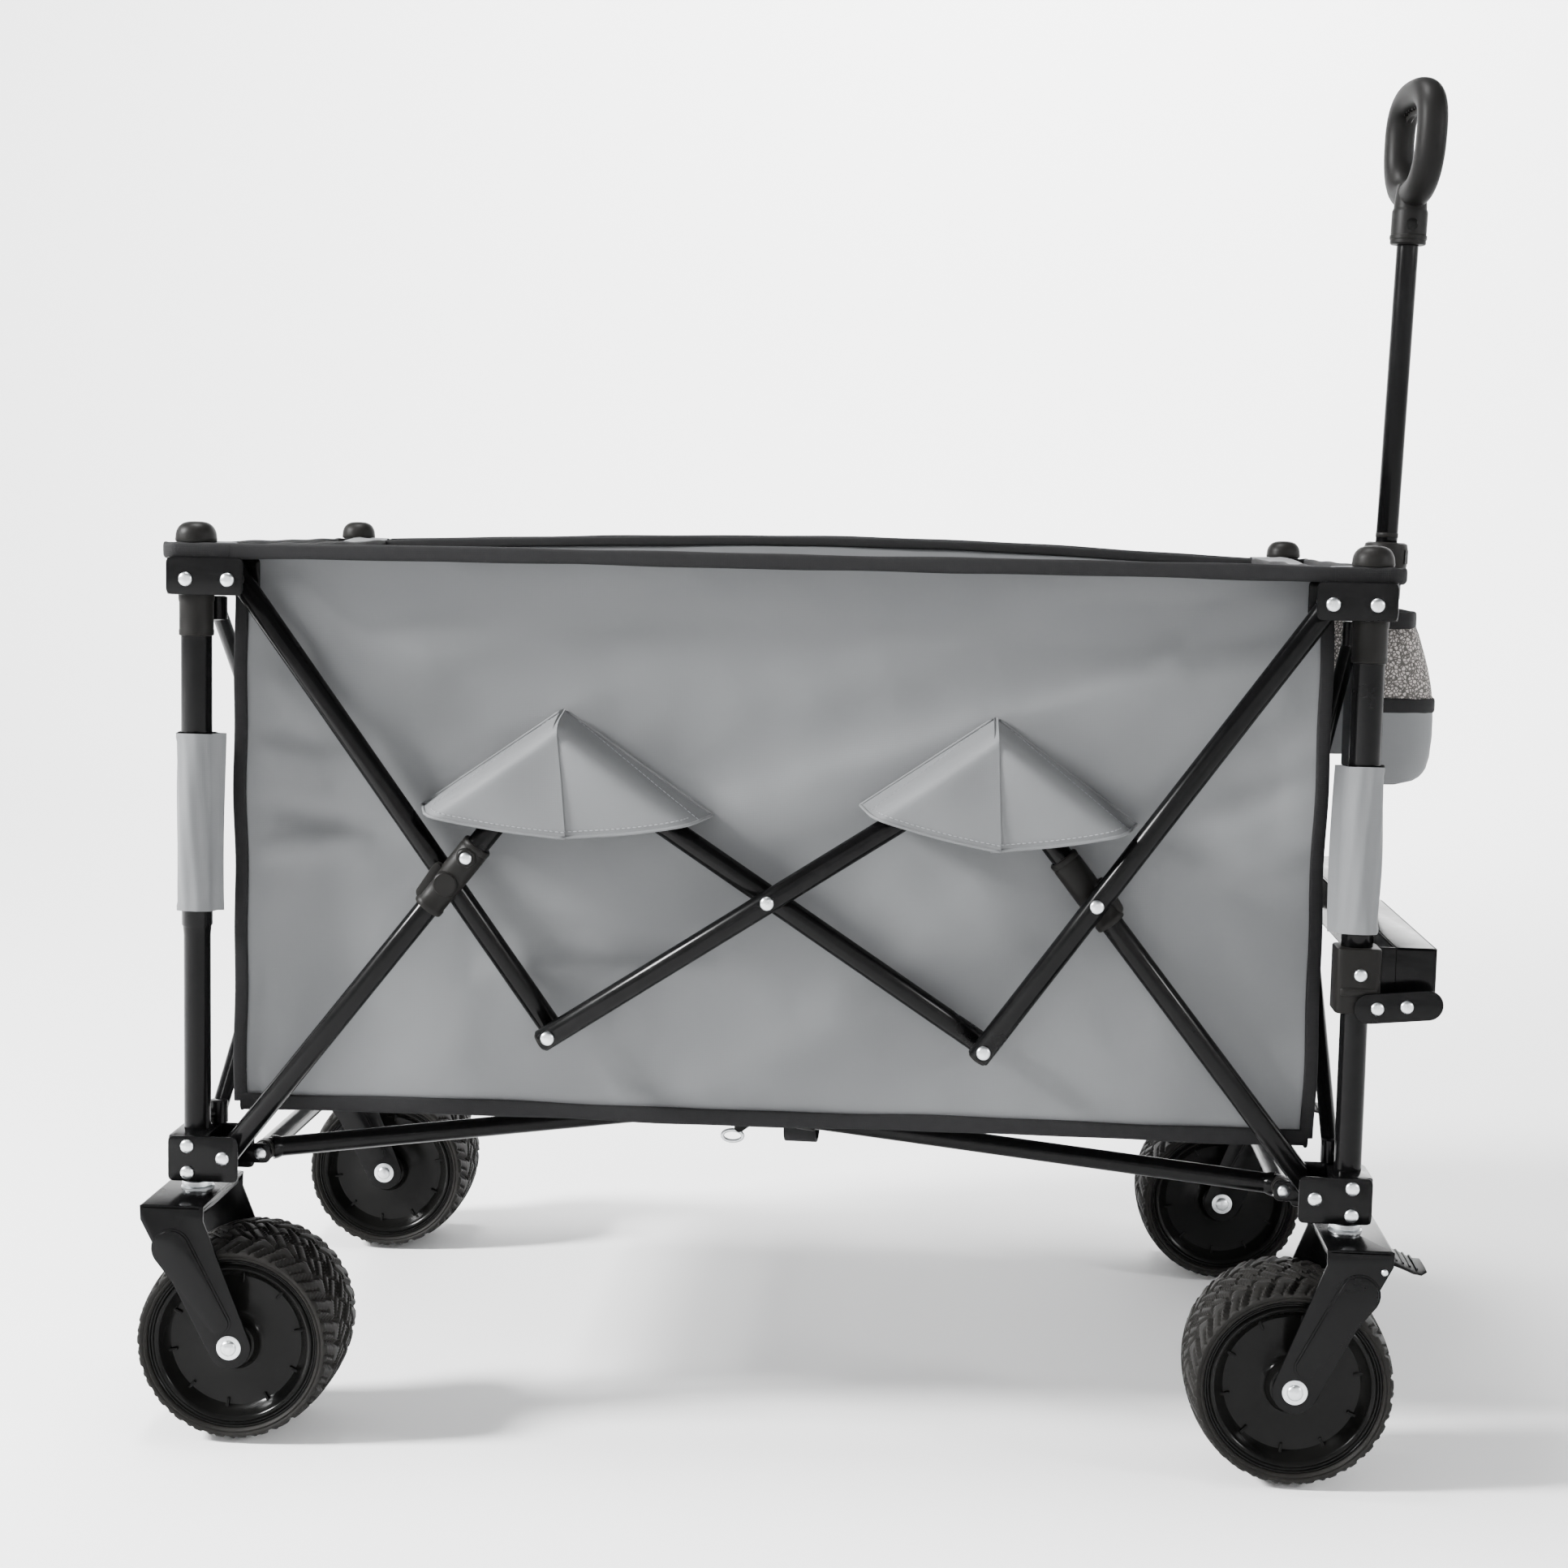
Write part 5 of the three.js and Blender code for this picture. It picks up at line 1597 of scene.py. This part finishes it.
def front_pockets():
    """Pockets on the front end: knitted mesh above a cloth foot, with an elastic top edge and a band."""
    for side, sy in (("near", -1), ("far", 1)):
        low, high = box_mm(f"front_pocket_{side}")
        centre, reach = (low[1] + high[1]) / 2, (high[1] - low[1]) / 2
        y0, y1 = centre - reach, centre + reach
        middle, half = (y0 + y1) / 2, (y1 - y0) / 2 - 1
        back, z0, z1 = low[0] + 1.5, low[2] + 1, high[2] - 1
        levels = [
            (0.0, 0.45), (0.012, 0.66), (0.035, 0.8), (0.08, 0.91), (0.16, 0.97), (0.28, 1.0), (0.4, 0.99),
            (0.5, 0.965), (0.58, 0.93)
        ]
        levels += [(0.66, 0.88), (0.74, 0.82), (0.82, 0.75), (0.9, 0.68), (0.96, 0.62), (1.0, 0.6)]

        def level(v):
            out = np.interp(v, [a for a, _ in levels], [b for _, b in levels])
            return back + (high[0] - 1.2 - back) * out, half * (0.93 + 0.07 * out) - (2.5 if v > 0.9 else 0)

        def loop(v, grow=0.0):
            front, wide = level(v)
            points = []
            for k in range(61):
                t = math.pi * k / 60
                c, s = math.cos(t), math.sin(t)
                px = back + (front - back + grow) * abs(s) ** 0.32
                py = middle + (wide + grow) * math.copysign(abs(c) ** 0.42, -c)
                px += 0.9 * math.sin(9 * c + 5 * v + sy) * s * (1 - abs(2 * v - 1) * 0.4)
                points.append((px, py, z0 + (z1 - z0) * v))
            return points

        zones = (("foot", "cloth", 0.0, 0.45, 20), ("net", "mesh", 0.45, 0.93, 22))
        for part, look, v0, v1, many in zones:
            rows, flat = [], []
            for k in range(many + 1):
                v = v0 + (v1 - v0) * k / many
                points = loop(v)
                rows.append(points)
                run = 0.0
                for i, p in enumerate(points):
                    run += math.dist(p, points[i - 1]) if i else 0
                    flat.append((run * MM, p[2] * MM))
            shape = Shape().grid(rows, look, flat=flat)
            area = sum_area(rows)
            if part == "foot":
                floor = [
                    [
                        (
                            back + (p[0] - back) * s, middle + (p[1] - middle) * (0.2 + 0.8 * s), p[2]
                            - 0.6 * (1 - s)
                        )
                        for p in rows[0]
                    ]
                    for s in (1, 0.66, 0.33, 0.02)
                ]
                shape.grid(floor, look)
                area += sum_area(floor)
                wall = [
                    [(back, y, z) for y in np.linspace(y0 + 2, y1 - 2, 24)] for z in np.linspace(z0, z1, 16)
                ]
                shape.grid(wall, look)
                area += sum_area(wall)
            made = shape.make(f"front_pocket_{part}_{side}", 180)
            on_end(made, "front")
            if part == "foot":
                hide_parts(f"front_pocket_{side}")
        for part, v, wide in (("band", 0.47, 11), ("top", 0.965, 13)):
            path = loop(v, 0.5)
            made = tape(path, wide, 2.6, wobble=0.05, seed=sy).make(f"front_pocket_{part}_{side}", 60)
            on_end(made, "front")


# ---------------------------------------------------------------- studio


def studio():
    """Camera, pale floor that curves up into a wall all round, and soft lamps."""
    scene = bpy.context.scene
    lens = scene.wagon_sizes.camera_lens
    camera = bpy.data.objects.new("camera", bpy.data.cameras.new("camera"))
    camera.data.lens, camera.data.sensor_width = lens, 36
    camera.data.clip_end = 60
    yaw, pitch, roll = CAMERA_TURN
    ahead = Vector((-math.sin(yaw) * math.cos(pitch), math.cos(yaw) * math.cos(pitch), math.sin(pitch)))
    level = Vector((math.cos(yaw), math.sin(yaw), 0))
    above = level.cross(ahead)
    right = level * math.cos(roll) + above * math.sin(roll)
    above = above * math.cos(roll) - level * math.sin(roll)
    turn = Matrix((right, above, -ahead)).transposed().to_4x4()
    camera.matrix_world = Matrix.Translation(CAMERA_PLACE) @ turn
    scene.collection.objects.link(camera)
    scene.camera = camera

    rows = []
    profile = [(0.0004, 0)] + [(r, 0) for r in np.linspace(0.8, 4.6, 6)] + [
        (4.6 + 1.4 * math.sin(t), 1.4 - 1.4 * math.cos(t)) for t in np.linspace(0.15, math.pi / 2, 10)
    ] + [(6, 2.6), (6, 4.2)]
    for r, h in profile:
        rows.append(
            [
                (r * math.cos(TAU * k / 96) / MM, r * math.sin(TAU * k / 96) / MM, h / MM - 0.3)
                for k in range(96)
            ]
        )
    floor = Shape().grid(rows, "paper", close_u=True).make("studio_floor", 180)

    world = bpy.data.worlds.new("studio_air")
    world.use_nodes = True
    world.node_tree.nodes["Background"].inputs["Color"].default_value = (0.95, 0.97, 1.0, 1)
    world.node_tree.nodes["Background"].inputs["Strength"].default_value = 0.25
    scene.world = world
    lamps = (
        ("overhead", (-0.5, 0.1, 3.6), (0, 0, 0.3), 1.1, 170),
        ("left_window", (-3.4, -1.2, 2.5), (0, -0.2, 0.5), 0.8, 640),
        ("right_window", (3.8, -1.8, 1.9), (0, 0, 0.4), 0.7, 70),
        ("wall_wash", (0.3, 3.2, 3.6), (0.2, 6, 1.2), 1.6, 460),
    )
    for name, place, aim, size, power in lamps:
        lamp = bpy.data.lights.new(name, "AREA")
        lamp.shape, lamp.size, lamp.energy = "DISK", size, power
        made = bpy.data.objects.new(name, lamp)
        made.location = place
        made.rotation_euler = (Vector(aim) - Vector(place)).to_track_quat("-Z", "Y").to_euler()
        scene.collection.objects.link(made)


# ---------------------------------------------------------------- operators and panel


class WAGON_OT_studio(bpy.types.Operator):
    """Add the camera, the pale floor and the soft lamps"""

    bl_idname = "wagon.studio"
    bl_label = "Studio"

    def execute(self, context):
        studio()
        return {"FINISHED"}


class WAGON_OT_posts(bpy.types.Operator):
    """Build the corner posts, their brackets, the end braces and the knobs"""

    bl_idname = "wagon.posts"
    bl_label = "Posts and brackets"

    def execute(self, context):
        corner_posts()
        post_brackets()
        end_braces()
        knobs()
        return {"FINISHED"}


class WAGON_OT_scissors(bpy.types.Operator):
    """Build the scissor bars of both sides with their collars and rivets"""

    bl_idname = "wagon.scissors"
    bl_label = "Scissor bars"

    def execute(self, context):
        scissor_bars()
        return {"FINISHED"}


class WAGON_OT_floor_frames(bpy.types.Operator):
    """Build the floor frames and the lifting strap"""

    bl_idname = "wagon.floor_frames"
    bl_label = "Floor frames"

    def execute(self, context):
        floor_frames()
        lifting_strap()
        return {"FINISHED"}


class WAGON_OT_wheels(bpy.types.Operator):
    """Build the tyres, wheels, forks and foot brakes"""

    bl_idname = "wagon.wheels"
    bl_label = "Wheels"

    def execute(self, context):
        tyres()
        wheel_discs()
        forks()
        brake_pedals()
        return {"FINISHED"}


class WAGON_OT_handle(bpy.types.Operator):
    """Build the crossbar and the telescopic pull handle"""

    bl_idname = "wagon.handle"
    bl_label = "Pull handle"

    def execute(self, context):
        handle_crossbar()
        pull_handle()
        return {"FINISHED"}


class WAGON_OT_basket(bpy.types.Operator):
    """Build the basket's panels, floor pads, bound edges and rim"""

    bl_idname = "wagon.basket"
    bl_label = "Basket"

    def execute(self, context):
        side_panels()
        floor_margins()
        end_panels()
        floor_pads()
        basket_edges()
        basket_rim()
        return {"FINISHED"}


class WAGON_OT_covers(bpy.types.Operator):
    """Build the knee flaps, post sleeves and front pockets"""

    bl_idname = "wagon.covers"
    bl_label = "Flaps, sleeves and pockets"

    def execute(self, context):
        knee_flaps()
        post_sleeves()
        front_pockets()
        return {"FINISHED"}


OPERATORS = (
    WAGON_OT_studio, WAGON_OT_posts, WAGON_OT_scissors, WAGON_OT_floor_frames,
    WAGON_OT_wheels, WAGON_OT_handle, WAGON_OT_basket, WAGON_OT_covers,
)


class WAGON_PT_panel(bpy.types.Panel):
    """Lists the wagon's settings and its pieces"""

    bl_idname = "WAGON_PT_panel"
    bl_label = "Folding wagon"
    bl_space_type = "VIEW_3D"
    bl_region_type = "UI"
    bl_category = "Wagon"

    def draw(self, context):
        column = self.layout.column(align=True)
        for settings in (context.scene.wagon_sizes, context.scene.wagon_colours):
            for key in settings.__annotations__:
                column.prop(settings, key)
        for operator in OPERATORS:
            column.operator(operator.bl_idname)


CLASSES = (WagonSizes, WagonColours, *OPERATORS, WAGON_PT_panel)


def register():
    for item in CLASSES:
        bpy.utils.register_class(item)
    bpy.types.Scene.wagon_sizes = PointerProperty(type=WagonSizes)
    bpy.types.Scene.wagon_colours = PointerProperty(type=WagonColours)


def unregister():
    del bpy.types.Scene.wagon_colours
    del bpy.types.Scene.wagon_sizes
    for item in reversed(CLASSES):
        bpy.utils.unregister_class(item)


def main():
    register()
    bpy.ops.wagon.studio()
    bpy.ops.wagon.posts()
    bpy.ops.wagon.scissors()
    bpy.ops.wagon.floor_frames()
    bpy.ops.wagon.wheels()
    bpy.ops.wagon.handle()
    bpy.ops.wagon.basket()
    bpy.ops.wagon.covers()


if __name__ == "__main__":
    main()
